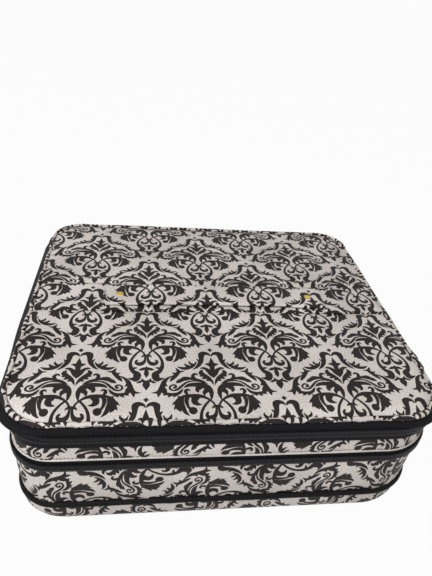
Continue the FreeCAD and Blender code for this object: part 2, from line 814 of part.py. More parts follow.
# Rivets: a domed cap on a post through strap, band, cover and board, closed by a washer.
rivet = make_body("rivet")
sketch = sketch_on(rivet, "XZ_Plane", "Half_rivet")
POST_FOOT = f"({LID_BOARD_BOTTOM} - {RIVET_SEAT})"
CAP_SWELL = "(Sizes.rivet_cap_radius ^ 2 / (2 * Sizes.rivet_cap_rise) + Sizes.rivet_cap_rise / 2)"
outline(
    sketch,
    [
        ("0", POST_FOOT),
        ("Sizes.rivet_post_radius - Sizes.fit_gap", POST_FOOT),
        ("Sizes.rivet_post_radius - Sizes.fit_gap", "Sizes.fit_gap"),
        ("Sizes.rivet_cap_radius", "Sizes.fit_gap", CAP_SWELL),
        ("0", "Sizes.rivet_cap_rise + Sizes.fit_gap"),
    ],
)
turned = rivet.newObject("PartDesign::Revolution", "Turn_rivet")
turned.Profile = sketch
turned.ReferenceAxis = (sketch, ["V_Axis"])
rivet.setExpression("Placement.Base.x", "Sizes.rivet_half_spacing")
rivet.setExpression("Placement.Base.z", RIVET_SEAT)
opposite = doc.addObject("Part::Mirroring", "RivetLeft")
opposite.Source = rivet
opposite.Normal = Vector(1, 0, 0)
pair = doc.addObject("Part::Compound", "RivetPair")
pair.Links = [rivet, opposite]
keep(pair, "handle_rivets")
discs = rivet_cylinders(
    "WasherDiscs", "Sizes.washer_radius", LID_BOARD_BOTTOM, "Sizes.washer_thickness"
)
keep(boolean("Cut", "Washers", discs, rivet_posts), "rivet_washers")

# Zip sliders: a shield-shaped plate over both coils, a lip under the lower one, and a bail.
SLIDER_HALF = "(Sizes.slider_length / 2)"
SLIDER_TOP = "(Sizes.slider_clearance + Sizes.slider_plate_thickness)"
LIP_TOP = "(-1 * (Sizes.zip_half_gap + Sizes.coil_height + Sizes.slider_clearance))"
HEAD_SHOULDER = 0.2
HEAD_TAPER = 0.7


def slider(name, heading, meeting, level):
    """Slider whose head points along heading, +1 to the rear or -1 to the front."""
    body = make_body(name)
    head = "Sizes.slider_head_width / 2"
    tail = "Sizes.slider_tail_width / 2"
    nose_y = f"{heading} * {SLIDER_HALF}"
    shoulder_y = f"{heading * HEAD_SHOULDER} * {SLIDER_HALF}"
    tail_y = f"{-heading} * {SLIDER_HALF}"
    shield = sketch_on(body, "YZ_Plane", f"Shield_{name}", "Sizes.slider_clearance")
    outline(
        shield,
        [
            (tail_y, f"-{tail}"),
            (shoulder_y, f"-{head}"),
            (nose_y, f"-{HEAD_TAPER} * {head}"),
            (nose_y, f"{HEAD_TAPER} * {head}"),
            (shoulder_y, head),
            (tail_y, tail),
        ],
    )
    plate = pad(body, shield, f"Plate_{name}", "Sizes.slider_plate_thickness")
    outer = size_of(SLIDER_TOP)
    fillet_edges(
        body,
        plate,
        f"Soft_{name}",
        "Sizes.slider_edge_radius",
        lambda edge: edge.BoundBox.XMin > outer - SAME_POINT,
    )
    lip = sketch_on(body, "YZ_Plane", f"Lip_{name}", "-Sizes.slider_lip_depth")
    lip_low = f"{LIP_TOP} - Sizes.slider_lip_height"
    lip_end = f"{SLIDER_HALF} * {HEAD_TAPER}"
    outline(
        lip,
        [
            (f"-{lip_end}", lip_low),
            (lip_end, lip_low),
            (lip_end, LIP_TOP),
            (f"-{lip_end}", LIP_TOP),
        ],
    )
    lip_reach = "Sizes.slider_lip_depth + Sizes.slider_clearance + Sizes.slider_plate_thickness / 2"
    pad(body, lip, f"LipPad_{name}", lip_reach)
    legs = sketch_on(body, "YZ_Plane", f"Legs_{name}", "Sizes.slider_clearance")
    for sign in ("-", ""):
        near = f"{sign}Sizes.bail_half_length"
        far = f"{sign}(Sizes.bail_half_length + Sizes.bail_leg_length)"
        outline(
            legs,
            [
                (near, "-Sizes.bail_leg_half_height"),
                (far, "-Sizes.bail_leg_half_height"),
                (far, "Sizes.bail_leg_half_height"),
                (near, "Sizes.bail_leg_half_height"),
            ],
        )
    leg_rise = "Sizes.bail_stand_off + Sizes.bail_leg_cap - Sizes.slider_clearance"
    pad(body, legs, f"LegPad_{name}", leg_rise)
    bar = sketch_on(body, "XZ_Plane", f"Bar_{name}")
    stand_off = size_of("Sizes.bail_stand_off")
    circle = Part.Circle(Vector(stand_off, 0, 0), Vector(0, 0, 1), size_of("Sizes.bail_radius"))
    bar.addGeometry(circle)
    pin_point(bar, 0, 3, "Sizes.bail_stand_off", "0")
    bind(bar, "Radius", (0,), "Sizes.bail_radius")
    bar_length = "2 * Sizes.bail_half_length + Sizes.bail_leg_length"
    pad(body, bar, f"BarPad_{name}", bar_length, symmetric=True)
    middle = f"{meeting} - {heading} * ({SLIDER_HALF} + Sizes.slider_meeting_gap / 2)"
    body.setExpression("Placement.Base.x", HALF_WIDTH)
    body.setExpression("Placement.Base.y", middle)
    body.setExpression("Placement.Base.z", level)
    keep(body, name)
    return middle


def pull_tab(name, middle, level):
    """Tapered pull tab that hangs from the slider's bail by a round eye."""
    body = make_body(name)
    blade = sketch_on(body, "YZ_Plane", f"Blade_{name}")
    foot = "-1 * (Sizes.pull_length - Sizes.pull_end_half / 2)"
    foot_swell = "Sizes.pull_foot_swell * Sizes.pull_end_half"
    outline(
        blade,
        [
            ("-Sizes.pull_neck_half", "-Sizes.pull_eye_radius / 2"),
            ("-Sizes.pull_end_half", "-Sizes.pull_shoulder"),
            ("-Sizes.pull_end_half", foot, foot_swell),
            ("Sizes.pull_end_half", foot),
            ("Sizes.pull_end_half", "-Sizes.pull_shoulder"),
            ("Sizes.pull_neck_half", "-Sizes.pull_eye_radius / 2"),
        ],
    )
    pad(body, blade, f"BladePad_{name}", "Sizes.pull_thickness", symmetric=True)
    window = sketch_on(body, "YZ_Plane", f"Window_{name}")
    window_swell = "Sizes.pull_window_swell * Sizes.pull_window_radius"
    outline(
        window,
        [
            ("-Sizes.pull_window_radius", "-Sizes.pull_window_top"),
            ("-Sizes.pull_window_radius", "-Sizes.pull_window_bottom", window_swell),
            ("Sizes.pull_window_radius", "-Sizes.pull_window_bottom"),
            ("Sizes.pull_window_radius", "-Sizes.pull_window_top", window_swell),
        ],
    )
    pocket_through(body, window, f"WindowCut_{name}")
    eye = sketch_on(body, "XZ_Plane", f"Eye_{name}")
    eye.addGeometry(Part.Circle(Vector(), Vector(0, 0, 1), size_of("Sizes.pull_eye_radius")))
    pin_point(eye, 0, 3, "0", "0")
    bind(eye, "Radius", (0,), "Sizes.pull_eye_radius")
    pad(body, eye, f"EyePad_{name}", "2 * Sizes.pull_eye_half_length", symmetric=True)
    bore_radius = "Sizes.bail_radius + Sizes.pull_bore_clearance"
    bore = sketch_on(body, "XZ_Plane", f"Bore_{name}")
    bore.addGeometry(Part.Circle(Vector(), Vector(0, 0, 1), size_of(bore_radius)))
    pin_point(bore, 0, 3, "0", "0")
    bind(bore, "Radius", (0,), bore_radius)
    pocket_through(body, bore, f"BoreCut_{name}")
    body.setExpression("Placement.Base.x", f"{HALF_WIDTH} + Sizes.bail_stand_off")
    body.setExpression("Placement.Base.y", middle)
    body.setExpression("Placement.Base.z", level)
    keep(body, name)


for zip_name in ("lid", "base"):
    for end, heading in (("front", 1), ("rear", -1)):
        meeting = f"Sizes.{zip_name}_slider_meeting_y"
        level = f"Sizes.{zip_name}_zip_level"
        middle = slider(f"{zip_name}_slider_{end}", heading, meeting, level)
        pull_tab(f"{zip_name}_pull_{end}", middle, level)

doc.recompute()
failed = [obj.Name for obj in doc.Objects if {"Invalid", "Error"} & set(obj.State)]
if failed:
    raise RuntimeError(f"failed features: {failed}")
for name, obj in parts.items():
    if obj.Shape.isNull() or not obj.Shape.isValid():
        raise RuntimeError(f"{name} has no valid shape")

os.makedirs("parts", exist_ok=True)
for name, obj in parts.items():
    obj.Shape.exportStep(f"parts/{name}.step")
print(f"wrote {len(parts)} parts")
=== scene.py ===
import math

import bmesh
import bpy
import numpy as np
from mathutils import Matrix, Vector
from mathutils.geometry import convex_hull_2d, delaunay_2d_cdt


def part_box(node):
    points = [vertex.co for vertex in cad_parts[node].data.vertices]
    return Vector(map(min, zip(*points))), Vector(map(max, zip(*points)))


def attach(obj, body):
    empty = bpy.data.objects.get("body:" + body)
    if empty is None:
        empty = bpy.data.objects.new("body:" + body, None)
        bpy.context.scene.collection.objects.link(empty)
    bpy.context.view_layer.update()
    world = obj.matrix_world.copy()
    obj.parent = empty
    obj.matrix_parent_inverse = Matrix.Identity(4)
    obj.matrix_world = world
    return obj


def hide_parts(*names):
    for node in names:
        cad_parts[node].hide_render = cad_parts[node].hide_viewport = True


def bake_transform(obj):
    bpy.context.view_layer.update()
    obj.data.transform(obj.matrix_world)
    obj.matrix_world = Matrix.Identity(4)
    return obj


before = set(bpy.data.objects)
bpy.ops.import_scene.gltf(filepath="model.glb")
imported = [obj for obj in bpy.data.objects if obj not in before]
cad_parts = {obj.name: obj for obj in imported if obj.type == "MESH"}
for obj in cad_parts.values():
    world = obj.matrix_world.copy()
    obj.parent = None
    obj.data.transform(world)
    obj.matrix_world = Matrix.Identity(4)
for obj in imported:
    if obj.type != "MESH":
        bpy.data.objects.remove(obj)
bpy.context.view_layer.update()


# Stage: a white sweep and plain soft studio light, seen from above the front left corner.
# The camera stands where the photograph was taken, a little rolled, with a wide lens.
EYE = Vector((-0.0679, -0.3666, 0.3965))
YAW = math.radians(10.31)
PITCH = math.radians(34.60)
ROLL = math.radians(7.07)
LENS = 30.08
NEAREST = 0.01
FLOOR_SIZE = 40.0
FLOOR_COLOUR = (0.6, 0.6, 0.6, 1)
FLOOR_ROUGHNESS = 0.9
FLOOR_WHITE = 0.95
WORLD_LIGHT = 0.48
SKY_WHITE = 0.97
WHITE = (1, 1, 1, 1)
KEY_PLACE = Vector((-0.38, -0.62, 0.85))
KEY_SIZE = 0.6
KEY_POWER = 8
scene = bpy.context.scene
scene.view_settings.view_transform = "Standard"

ahead = Vector((math.sin(YAW) * math.cos(PITCH), math.cos(YAW) * math.cos(PITCH), -math.sin(PITCH)))
level = Vector((math.cos(YAW), -math.sin(YAW), 0))
above = level.cross(ahead)
across = level * math.cos(ROLL) + above * math.sin(ROLL)
upward = above * math.cos(ROLL) - level * math.sin(ROLL)
camera = bpy.data.objects.new("camera", bpy.data.cameras.new("camera"))
scene.collection.objects.link(camera)
camera.data.lens = LENS
camera.data.clip_start = NEAREST
camera.matrix_world = Matrix.Translation(EYE) @ Matrix((across, upward, -ahead)).transposed().to_4x4()
scene.camera = camera

key = bpy.data.objects.new("key_light", bpy.data.lights.new("key_light", "AREA"))
scene.collection.objects.link(key)
key.data.size = KEY_SIZE
key.data.energy = KEY_POWER
key.location = KEY_PLACE
key.rotation_euler = (-KEY_PLACE).to_track_quat("-Z", "Y").to_euler()


def wire(tree, node, inputs):
    """Set a node's inputs, or link those that are given as sockets."""
    for name, value in inputs.items():
        if isinstance(value, bpy.types.NodeSocket):
            tree.links.new(value, node.inputs[name])
        else:
            node.inputs[name].default_value = value


def add_node(tree, kind, inputs, output=0, **settings):
    """Add a shader node with its settings and inputs, and give one of its output sockets."""
    node = tree.nodes.new(f"ShaderNode{kind}")
    for name, value in settings.items():
        setattr(node, name, value)
    wire(tree, node, inputs)
    return node.outputs[output]


def between(tree, share, low, high):
    """Socket that follows a share from low to high."""
    return add_node(tree, "MapRange", {"Value": share, "To Min": low, "To Max": high})


def seen_directly(tree):
    """Socket that is 1 for rays that show a surface itself: from the camera, mirrored or let through."""
    path = tree.nodes.new("ShaderNodeLightPath")
    seen = path.outputs["Is Camera Ray"]
    for ray in ("Is Glossy Ray", "Is Transmission Ray"):
        seen = add_node(tree, "Math", {0: seen, 1: path.outputs[ray]}, operation="MAXIMUM")
    return seen


def new_material(name):
    """Material with nodes: itself, its node tree and its surface shader."""
    material = bpy.data.materials.new(name)
    material.use_nodes = True
    return material, material.node_tree, material.node_tree.nodes["Principled BSDF"]


def mesh_of(name, bm):
    """Mesh made from a worked one, which is freed."""
    mesh = bpy.data.meshes.new(name)
    bm.to_mesh(mesh)
    bm.free()
    return mesh


world = bpy.data.worlds.new("studio")
world.use_nodes = True
scene.world = world
air = world.node_tree
sky_level = between(air, seen_directly(air), WORLD_LIGHT, SKY_WHITE)
wire(air, air.nodes["Background"], {"Color": WHITE, "Strength": sky_level})

floor_bm = bmesh.new()
bmesh.ops.create_grid(floor_bm, x_segments=1, y_segments=1, size=FLOOR_SIZE)
floor = bpy.data.objects.new("floor", mesh_of("floor", floor_bm))
scene.collection.objects.link(floor)
sweep, sweep_tree, sweep_shader = new_material("white_sweep")
wire(sweep_tree, sweep_shader, {"Base Color": FLOOR_COLOUR, "Roughness": FLOOR_ROUGHNESS})
white_share = between(sweep_tree, seen_directly(sweep_tree), 0, FLOOR_WHITE)
glow = add_node(sweep_tree, "Emission", {})
lit_floor = {"Fac": white_share, 1: sweep_shader.outputs["BSDF"], 2: glow}
surface = add_node(sweep_tree, "MixShader", lit_floor)
wire(sweep_tree, sweep_tree.nodes["Material Output"], {"Surface": surface})
floor.data.materials.append(sweep)


# Base pan: the printed cloth bottom, moulded over a board with a well rounded lower edge.
# The cloth is cream canvas screen-printed in black with a half-drop damask repeat.
# Everything from here is worked in millimetres and turned to metres as a piece is made.
MM = 0.001
HALF_WIDTH = 175.0
HALF_DEPTH = 150.0
CORNER = 50.0
REPEAT_WIDTH = 103.5
REPEAT_HEIGHT = 104.6
CURVE_STEPS = 2
BALL_SIDES = 14
CAP_STEPS = 3
CLOTH_GRID = 5.0
TILE_REACH = 3
INSIDE_ONLY = 1
SMALLEST_PATCH = 0.02
INK_SPREAD = 0.2
WELD = 0.004
CUT_DISTANCE = WELD / 10
TRIM_STEPS = 12
# One half of the motif as pen strokes, each a run of (x, y, half width) from the knot it grows from.
STROKES = [
    # Lozenge and the hooked crest with its spur.
    [(0, 60.6, 0), (0, 58.4, 1.5), (0, 56.2, 0)],
    [(-2.2, 58.4, 0), (0, 58.4, 1.2), (2.2, 58.4, 0)],
    [(0.4, 51.2, 0.2), (1.6, 53.4, 1.0), (4.6, 54.6, 1.9), (7.4, 53.2, 2.6), (7.9, 50, 2.1),
     (8.0, 47, 1.7), (9.0, 44, 1.75), (10.6, 41, 1.4), (12.6, 38.4, 0.9), (15.6, 36.2, 0)],
    [(9.2, 45.2, 1.0), (10.6, 46.4, 0.8), (12, 48, 0)],
    # Fleur inside the crest.
    [(0, 49.4, 0), (0, 46.5, 1.0), (0, 43.6, 2.0), (0, 41, 2.0), (0, 38, 1.9), (0, 35, 1.7),
     (0, 31, 2.0), (0, 28.6, 1.2), (0, 27, 0)],
    [(0, 40.2, 1.3), (2.2, 41.4, 1.4), (4, 42.2, 0.9), (5.6, 41.8, 0)],
    [(0.4, 29.0, 1.2), (1.8, 32, 1.9), (3.4, 35, 1.7), (5.6, 37.2, 1.2), (7.8, 37.8, 0.9),
     (9.8, 37.2, 0)],
    # Toothed stalk beside the fleur, and the small hook outside it.
    [(0.5, 20, 0), (1.6, 23.5, 0.9), (3.6, 26.6, 1.5), (6.2, 29.2, 1.7), (8.4, 31.2, 1.8),
     (9.4, 33, 1.8), (8.6, 34.8, 0.9), (7.4, 35.6, 0)],
    [(10, 32.2, 1.5)],
    [(3.2, 25.8, 1.2), (4.8, 24.8, 0.9), (6.4, 24.6, 0)],
    [(5.6, 28.2, 1.5), (7.6, 27, 1.1), (9.4, 26.6, 0)],
    [(8.4, 30.2, 1.3), (9.8, 29.4, 0.9), (11.0, 29.6, 0)],
    [(12.2, 29.6, 0), (12.9, 30.9, 0.7), (14.4, 31.4, 0.9), (15.9, 30.2, 1.2), (15.9, 28.2, 1.3),
     (14.6, 26.6, 0.8)],
    # Long upper leaf and the scroll that ends in a spiral.
    [(5.0, 21.0, 0), (8.5, 23.8, 0.6), (13, 25.6, 0.9), (18, 26.6, 1.2), (22.4, 26.9, 1.7),
     (25, 26.0, 1.2)],
    [(20, 26.2, 1.0), (24, 25.4, 1.3), (27.2, 23.9, 1.6), (29.6, 22.2, 0)],
    [(5.6, 20.4, 0), (9, 22.9, 0.45), (13.5, 24.1, 0.5), (18, 24.0, 0.5), (22, 22.3, 0.7),
     (25.4, 18.8, 0.9), (28.6, 15.8, 0.8), (31.6, 15.0, 0.6), (34, 16.4, 0.7), (33.9, 18.9, 0.65),
     (31.6, 20.4, 0.6), (29.6, 19.6, 0.7), (29.8, 18.0, 0.9), (30.9, 17.7, 1.1)],
    # Toothed leaf under the spiral.
    [(24.2, 16.8, 0), (25.8, 14.2, 0.9), (28, 12, 1.2), (31, 11.2, 1.2), (34.5, 11.3, 1.2),
     (37.6, 12.2, 1.3), (40, 14.2, 0.8)],
    [(29.5, 11, 1.0), (31, 9.6, 0.8), (32, 8.4, 0)],
    [(33, 11, 1.1), (34.8, 9.6, 0.9), (36, 8.4, 0)],
    [(36.8, 12, 1.2), (38.2, 11, 0.9), (39.4, 10.2, 0)],
    # Outer leaves of the frame, from the side point up to the crest.
    [(31.6, 29.8, 0), (34, 28.2, 0.6), (36.6, 26, 1.2), (38.4, 23.2, 1.7), (39.4, 20, 1.9),
     (40.4, 17, 1.9), (42, 14.2, 1.6), (44.4, 12.9, 0.9), (48, 12.8, 0)],
    [(38.6, 21.5, 1.4), (37.2, 20, 1.0), (35.8, 19, 0)],
    [(40, 17.5, 1.6), (38.3, 15.8, 1.5), (37.2, 13.6, 1.0)],
    [(41.6, 15.5, 1.5), (42.2, 12.4, 1.4), (42.7, 10.4, 0.8), (42.8, 8.6, 0)],
    [(12.0, 45.0, 0), (13.2, 42.6, 0.7), (15.2, 40.2, 1.3), (18.4, 38.3, 1.6), (22, 37.3, 1.4),
     (25, 37.9, 1.0), (27.8, 39.2, 0)],
    [(15, 41.2, 1.0), (16.8, 42.4, 1.0), (17.9, 43.8, 0.7), (17.8, 45.6, 0)],
    [(18.6, 39.4, 1.2), (20.4, 40.6, 1.0), (21.4, 41.6, 0.6), (21.2, 43, 0)],
    [(28.9, 38.0, 0), (28.0, 36, 0.8), (26.8, 34.2, 1.3), (27.8, 32.2, 1.6), (29.6, 29.6, 1.6),
     (31.4, 27.2, 1.4), (32.8, 25.4, 0.9), (33.8, 23.6, 0)],
    [(27, 33.8, 0.9), (24.6, 34.2, 0.7), (22, 34.4, 0)],
    [(28.6, 31.4, 1.2), (30.4, 32, 0.8), (32.2, 33, 0)],
    # Big acanthus crescent with its two hooks, and the hook outside it.
    [(4.0, 4.8, 0), (3.4, 8, 0.9), (3.1, 11.5, 1.5), (3.6, 14.5, 1.9), (5.6, 17.6, 2.4), (9, 19.6, 2.4),
     (13, 20.4, 2.1), (17.4, 20.4, 1.7), (21, 19.4, 1.2), (23.8, 17.4, 0)],
    [(5, 15, 1.8), (6.8, 14.4, 2.0), (8.2, 12.8, 1.6), (8.6, 11, 0.9), (8.5, 9.4, 0)],
    [(10.6, 18.4, 2.0), (12.6, 17, 2.1), (13.6, 15.2, 1.5), (13.1, 13.6, 0.9), (12.6, 12.6, 0)],
    [(19.0, 14.0, 0), (19.8, 15.3, 0.7), (21.2, 15.6, 0.9), (22.4, 14.4, 1.2), (22.3, 12.6, 1.2),
     (21.2, 11, 0.7)],
    # Lower acanthus on its stem, and the ball below it.
    [(1.6, 0, 0.7), (2.6, 2.6, 0.65), (5.4, 5.8, 0.75), (9, 8.2, 1.2), (13, 9.3, 1.7), (17.5, 9.5, 1.6),
     (21.6, 9.5, 1.4), (25.5, 9.0, 0.6)],
    [(15.5, 8.5, 2.2), (16.4, 5.8, 2.3), (16.2, 3.4, 2.3), (14.8, 1.9, 1.6), (13, 1.2, 0.8),
     (11.0, 1.0, 0)],
    [(14.2, 7.2, 1.8)],
    [(21, 9, 1.4), (22.1, 6.5, 1.5), (22.3, 4.2, 1.4), (22.0, 1.6, 1.1), (21.2, -1, 0.9),
     (19.6, -3, 1.2)],
    [(24.4, 9.4, 0.9), (25.2, 6.5, 1.0), (25.6, 3, 1.3), (25.4, -0.5, 1.7), (24.6, -3.6, 1.6),
     (23.2, -6, 1.1), (20.6, -8.3, 0)],
    [(25.6, 9.2, 0.4), (27.2, 7.4, 1.2), (28.6, 4.6, 1.8), (29.2, 1.4, 1.9), (28.9, -1, 1.8),
     (27.9, -3.2, 1.2), (26.6, -5.2, 0)],
    [(28.8, 4.4, 1.4), (30.8, 3.2, 1.1), (33.2, 1.0, 0)],
    [(29.0, 0.6, 1.4), (30.6, -1.2, 1.0), (31.8, -3.4, 0)],
    [(26.4, 8, 0.9), (27.8, 8.9, 0.6), (29, 10, 0)],
    [(18.0, -4.2, 3.2)],
    # Knot and the lyre that hangs from it.
    [(-2.2, -0.4, 0.8), (0, -0.6, 1.1), (2.2, -0.4, 0.8)],
    [(1.4, -0.6, 0.8), (3, -1.4, 0.8), (4.2, -2.8, 0)],
    [(5.4, 4.6, 0.7), (8, 1.6, 0.8), (10.4, -2.2, 0.9), (12, -6.2, 0.95), (12.5, -10, 1.15),
     (12, -13.8, 1.5), (10.7, -17.2, 1.5), (9.6, -20, 1.0)],
    [(0.9, 0, 0.7), (1.0, -4, 0.75), (1.7, -7.4, 1.2), (3.7, -9.7, 1.8), (6.1, -10.1, 1.8),
     (8.0, -8.8, 1.3), (8.2, -7.0, 0.9), (7.0, -6.0, 0.7)],
    [(0, -12.8, 0), (0, -14.6, 1.6), (0, -16.6, 1.2), (0, -19, 1.7), (0, -21.6, 1.5), (0, -24.6, 0)],
    [(0.4, -14.8, 1.0), (2.6, -15.4, 1.3), (4.4, -16.2, 1.0), (6.2, -16.6, 0)],
    [(11.4, -16, 0.6), (8.8, -18.2, 1.2), (7.2, -20.6, 2.6), (7, -23.2, 2.9), (8, -25.6, 2.3),
     (9.6, -26.8, 1.4)],
    [(9.4, -25.8, 1.6), (11.4, -25.9, 1.0), (13.8, -24.8, 0)],
    [(6.6, -14.2, 0), (8.4, -14.4, 0.8), (10.2, -14.8, 1.0), (11.6, -16, 0.6)],
    [(6, -24.6, 1.6), (7.2, -27, 1.2), (9, -28.2, 0.4)],
    # Foot of the lyre.
    [(0, -27.2, 0), (0, -29, 1.6), (0, -31, 2.7), (0, -33.4, 2.2), (0, -37, 0)],
    [(0.6, -29.6, 1.3), (2.4, -27.6, 1.0), (3.6, -25.2, 0)],
    [(2.2, -27.4, 0.9), (4.2, -28.4, 0.9), (5.8, -29.4, 0.8), (7.6, -29.4, 0)],
]


def drawn_line(stroke):
    """Smooth line through a stroke's points, the half width carried along."""
    knots = [np.array(point, float) for point in stroke]
    knots = [2 * knots[0] - knots[1]] + knots + [2 * knots[-1] - knots[-2]]
    line = []
    for before, start, end, after in zip(knots, knots[1:], knots[2:], knots[3:]):
        for step in range(CURVE_STEPS):
            t = step / CURVE_STEPS
            bend = 2 * before - 5 * start + 4 * end - after
            twist = 3 * start - before - 3 * end + after
            line.append(start + ((end - before) * t + bend * t ** 2 + twist * t ** 3) / 2)
    return line + [knots[-2]]


def round_end(tip, heading):
    """Half disc that closes a blunt stroke."""
    side = np.array((-heading[1], heading[0]))
    turns = [math.pi * step / CAP_STEPS for step in range(CAP_STEPS + 1)]
    return [tip[:2] + tip[2] * (side * math.cos(turn) + heading * math.sin(turn)) for turn in turns]


def inked_patches(stroke):
    """The convex patches of ink that one stroke leaves."""
    if len(stroke) == 1:
        x, y, radius = stroke[0]
        turns = [math.tau * step / BALL_SIDES for step in range(BALL_SIDES)]
        return [[np.array((x + radius * math.cos(turn), y + radius * math.sin(turn))) for turn in turns]]
    line = drawn_line(stroke)
    headings = np.gradient(np.array(line)[:, :2], axis=0)
    headings /= np.linalg.norm(headings, axis=1)[:, None]
    edges = []
    for point, heading in zip(line, headings):
        side = np.array((-heading[1], heading[0])) * (max(point[2], 0) + INK_SPREAD)
        edges.append((point[:2] + side, point[:2] - side))
    patches = []
    for near, far in zip(edges, edges[1:]):
        patches.append([near[0], near[1], far[1], far[0]])
    if line[0][2] > 0:
        patches.append(round_end(line[0], -headings[0]))
    if line[-1][2] > 0:
        patches.append(round_end(line[-1], headings[-1]))
    return patches


def damask_tile():
    """One brick of the repeat: its points, its triangles and which of them are inked."""
    low = np.array((-REPEAT_WIDTH / 2, -REPEAT_HEIGHT / 4))
    high = -low
    columns = 2 * round(REPEAT_WIDTH / CLOTH_GRID / 2)
    rows = round(REPEAT_HEIGHT / 2 / CLOTH_GRID)
    xs = np.linspace(low[0], high[0], columns + 1)
    ys = np.linspace(low[1], high[1], rows + 1)
    border = [(x, low[1]) for x in xs[:-1]] + [(high[0], y) for y in ys[:-1]]
    border += [(x, high[1]) for x in xs[:0:-1]] + [(low[0], y) for y in ys[:0:-1]]
    points = [Vector(point) for point in border]
    faces = [list(range(len(points)))]
    half = [patch for stroke in STROKES for patch in inked_patches(stroke)]
    for across in range(-TILE_REACH, TILE_REACH + 1):
        for up in range(-TILE_REACH, TILE_REACH + 1):
            if (across + up) % 2:
                continue
            knot = np.array((across * REPEAT_WIDTH / 2, up * REPEAT_HEIGHT / 2))
            for mirror in (1, -1):
                for patch in half:
                    placed = np.array(patch) * (mirror, 1) + knot
                    if (placed.max(0) <= low).any() or (placed.min(0) >= high).any():
                        continue
                    hull = placed[convex_hull_2d([Vector(point) for point in placed])]
                    x, y = hull[:, 0], hull[:, 1]
                    area = (np.dot(x, np.roll(y, -1)) - np.dot(y, np.roll(x, -1))) / 2
                    if abs(area) < SMALLEST_PATCH:
                        continue
                    if area < 0:
                        hull = hull[::-1]
                    faces.append(list(range(len(points), len(points) + len(hull))))
                    points += [Vector(point) for point in hull]
    points += [Vector((x, y)) for x in xs[1:-1] for y in ys[1:-1]]
    cut, _, triangles, _, _, sources = delaunay_2d_cdt(points, [], faces, INSIDE_ONLY, CUT_DISTANCE, True)
    kept = [(face, len(source) > 1) for face, source in zip(triangles, sources) if 0 in source]
    return np.array(cut), np.array([face for face, _ in kept]), np.array([inked for _, inked in kept])


TILE_POINTS, TILE_TRIANGLES, TILE_INKED = damask_tile()

FLECK_SCALE = 0.85
FLECK_DETAIL = 3
WASH_SCALE = 0.018
WASH_DETAIL = 2
WASH_SHARE = 0.6
DYE_FROM = 0.58
GLOSS_PLAY = 0.08
YARN_SCALE = 0.5
YARN_WOBBLE = 0.6
YARN_FINENESS = 2.0
WEAVE_STRENGTH = 0.5
WEAVE_HEIGHT = 0.06
CREAM_DYE = ((0.42, 0.375, 0.352, 1), (0.70, 0.645, 0.61, 1))
INK_DYE = ((0.008, 0.006, 0.006, 1), (0.028, 0.021, 0.020, 1))


def noise(tree, place, scale, detail):
    """Socket of a cloudy mottle."""
    return add_node(tree, "TexNoise", {"Vector": place, "Scale": scale, "Detail": detail}, "Fac")


def colour_ramp(tree, share, stops):
    """Socket of a colour that follows a share between two stops, each a place and a colour."""
    ramp = tree.nodes.new("ShaderNodeValToRGB")
    for element, (position, colour) in zip(ramp.color_ramp.elements, stops):
        element.position = position
        element.color = colour
    wire(tree, ramp, {"Fac": share})
    return ramp.outputs["Color"]


def cloth_material(name, dye, roughness, specular):
    """Canvas: yarn-dyed mottle, a plain weave on the cloth's own millimetres, a soft coated gloss."""
    material, tree, shader = new_material(name)
    cloth = add_node(tree, "UVMap", {}, uv_map="cloth")
    fleck = noise(tree, cloth, FLECK_SCALE, FLECK_DETAIL)
    wash = noise(tree, cloth, WASH_SCALE, WASH_DETAIL)
    tone = add_node(tree, "Math", {0: wash, 1: WASH_SHARE, 2: fleck}, operation="MULTIPLY_ADD")
    yarn = {"Vector": cloth, "Scale": YARN_SCALE, "Distortion": YARN_WOBBLE, "Detail Scale": YARN_FINENESS}
    warp, weft = (add_node(tree, "TexWave", yarn, "Fac", bands_direction=axis) for axis in "XY")
    weave = add_node(tree, "Math", {0: warp, 1: weft}, operation="MAXIMUM")
    relief = {"Height": weave, "Strength": WEAVE_STRENGTH, "Distance": WEAVE_HEIGHT * MM}
    wire(tree, shader, {
        "Base Color": colour_ramp(tree, tone, ((DYE_FROM, dye[0]), (1, dye[1]))),
        "Roughness": between(tree, fleck, roughness - GLOSS_PLAY, roughness + GLOSS_PLAY),
        "Normal": add_node(tree, "Bump", relief), "Specular IOR Level": specular})
    return material


CREAM = cloth_material("cream_canvas", CREAM_DYE, roughness=0.58, specular=0.3)
INK = cloth_material("black_print", INK_DYE, roughness=0.55, specular=0.12)

RIM_LENGTH = 4 * (HALF_WIDTH + HALF_DEPTH) - 8 * CORNER + math.tau * CORNER


def rim(s):
    """Outer edge of the case at length s from the rear middle, round by the left: place and normal."""
    side_x, side_y = HALF_WIDTH - CORNER, HALF_DEPTH - CORNER
    arc = math.pi / 2 * CORNER
    lengths = (side_x, arc, 2 * side_y, arc, 2 * side_x, arc, 2 * side_y, arc, side_x)
    starts = (
        (0, HALF_DEPTH), (-side_x, side_y), (-HALF_WIDTH, side_y), (-side_x, -side_y), (-side_x, -HALF_DEPTH),
        (side_x, -side_y), (HALF_WIDTH, -side_y), (side_x, side_y), (side_x, HALF_DEPTH))
    s = np.mod(np.asarray(s, float), RIM_LENGTH)
    place = np.zeros(s.shape + (2,))
    normal = np.zeros(s.shape + (2,))
    begin = 0.0
    for index, (length, start) in enumerate(zip(lengths, starts)):
        here = (s >= begin) & (s <= begin + length)
        along = s[here] - begin
        turn = math.pi / 2 * (1 + index // 2)
        if index % 2:
            angle = turn + along / CORNER
            normal[here] = np.stack((np.cos(angle), np.sin(angle)), -1)
            place[here] = np.array(start) + CORNER * normal[here]
        else:
            normal[here] = (math.cos(turn), math.sin(turn))
            place[here] = np.array(start) + np.outer(along, (-math.sin(turn), math.cos(turn)))
        begin += length
    return place, normal


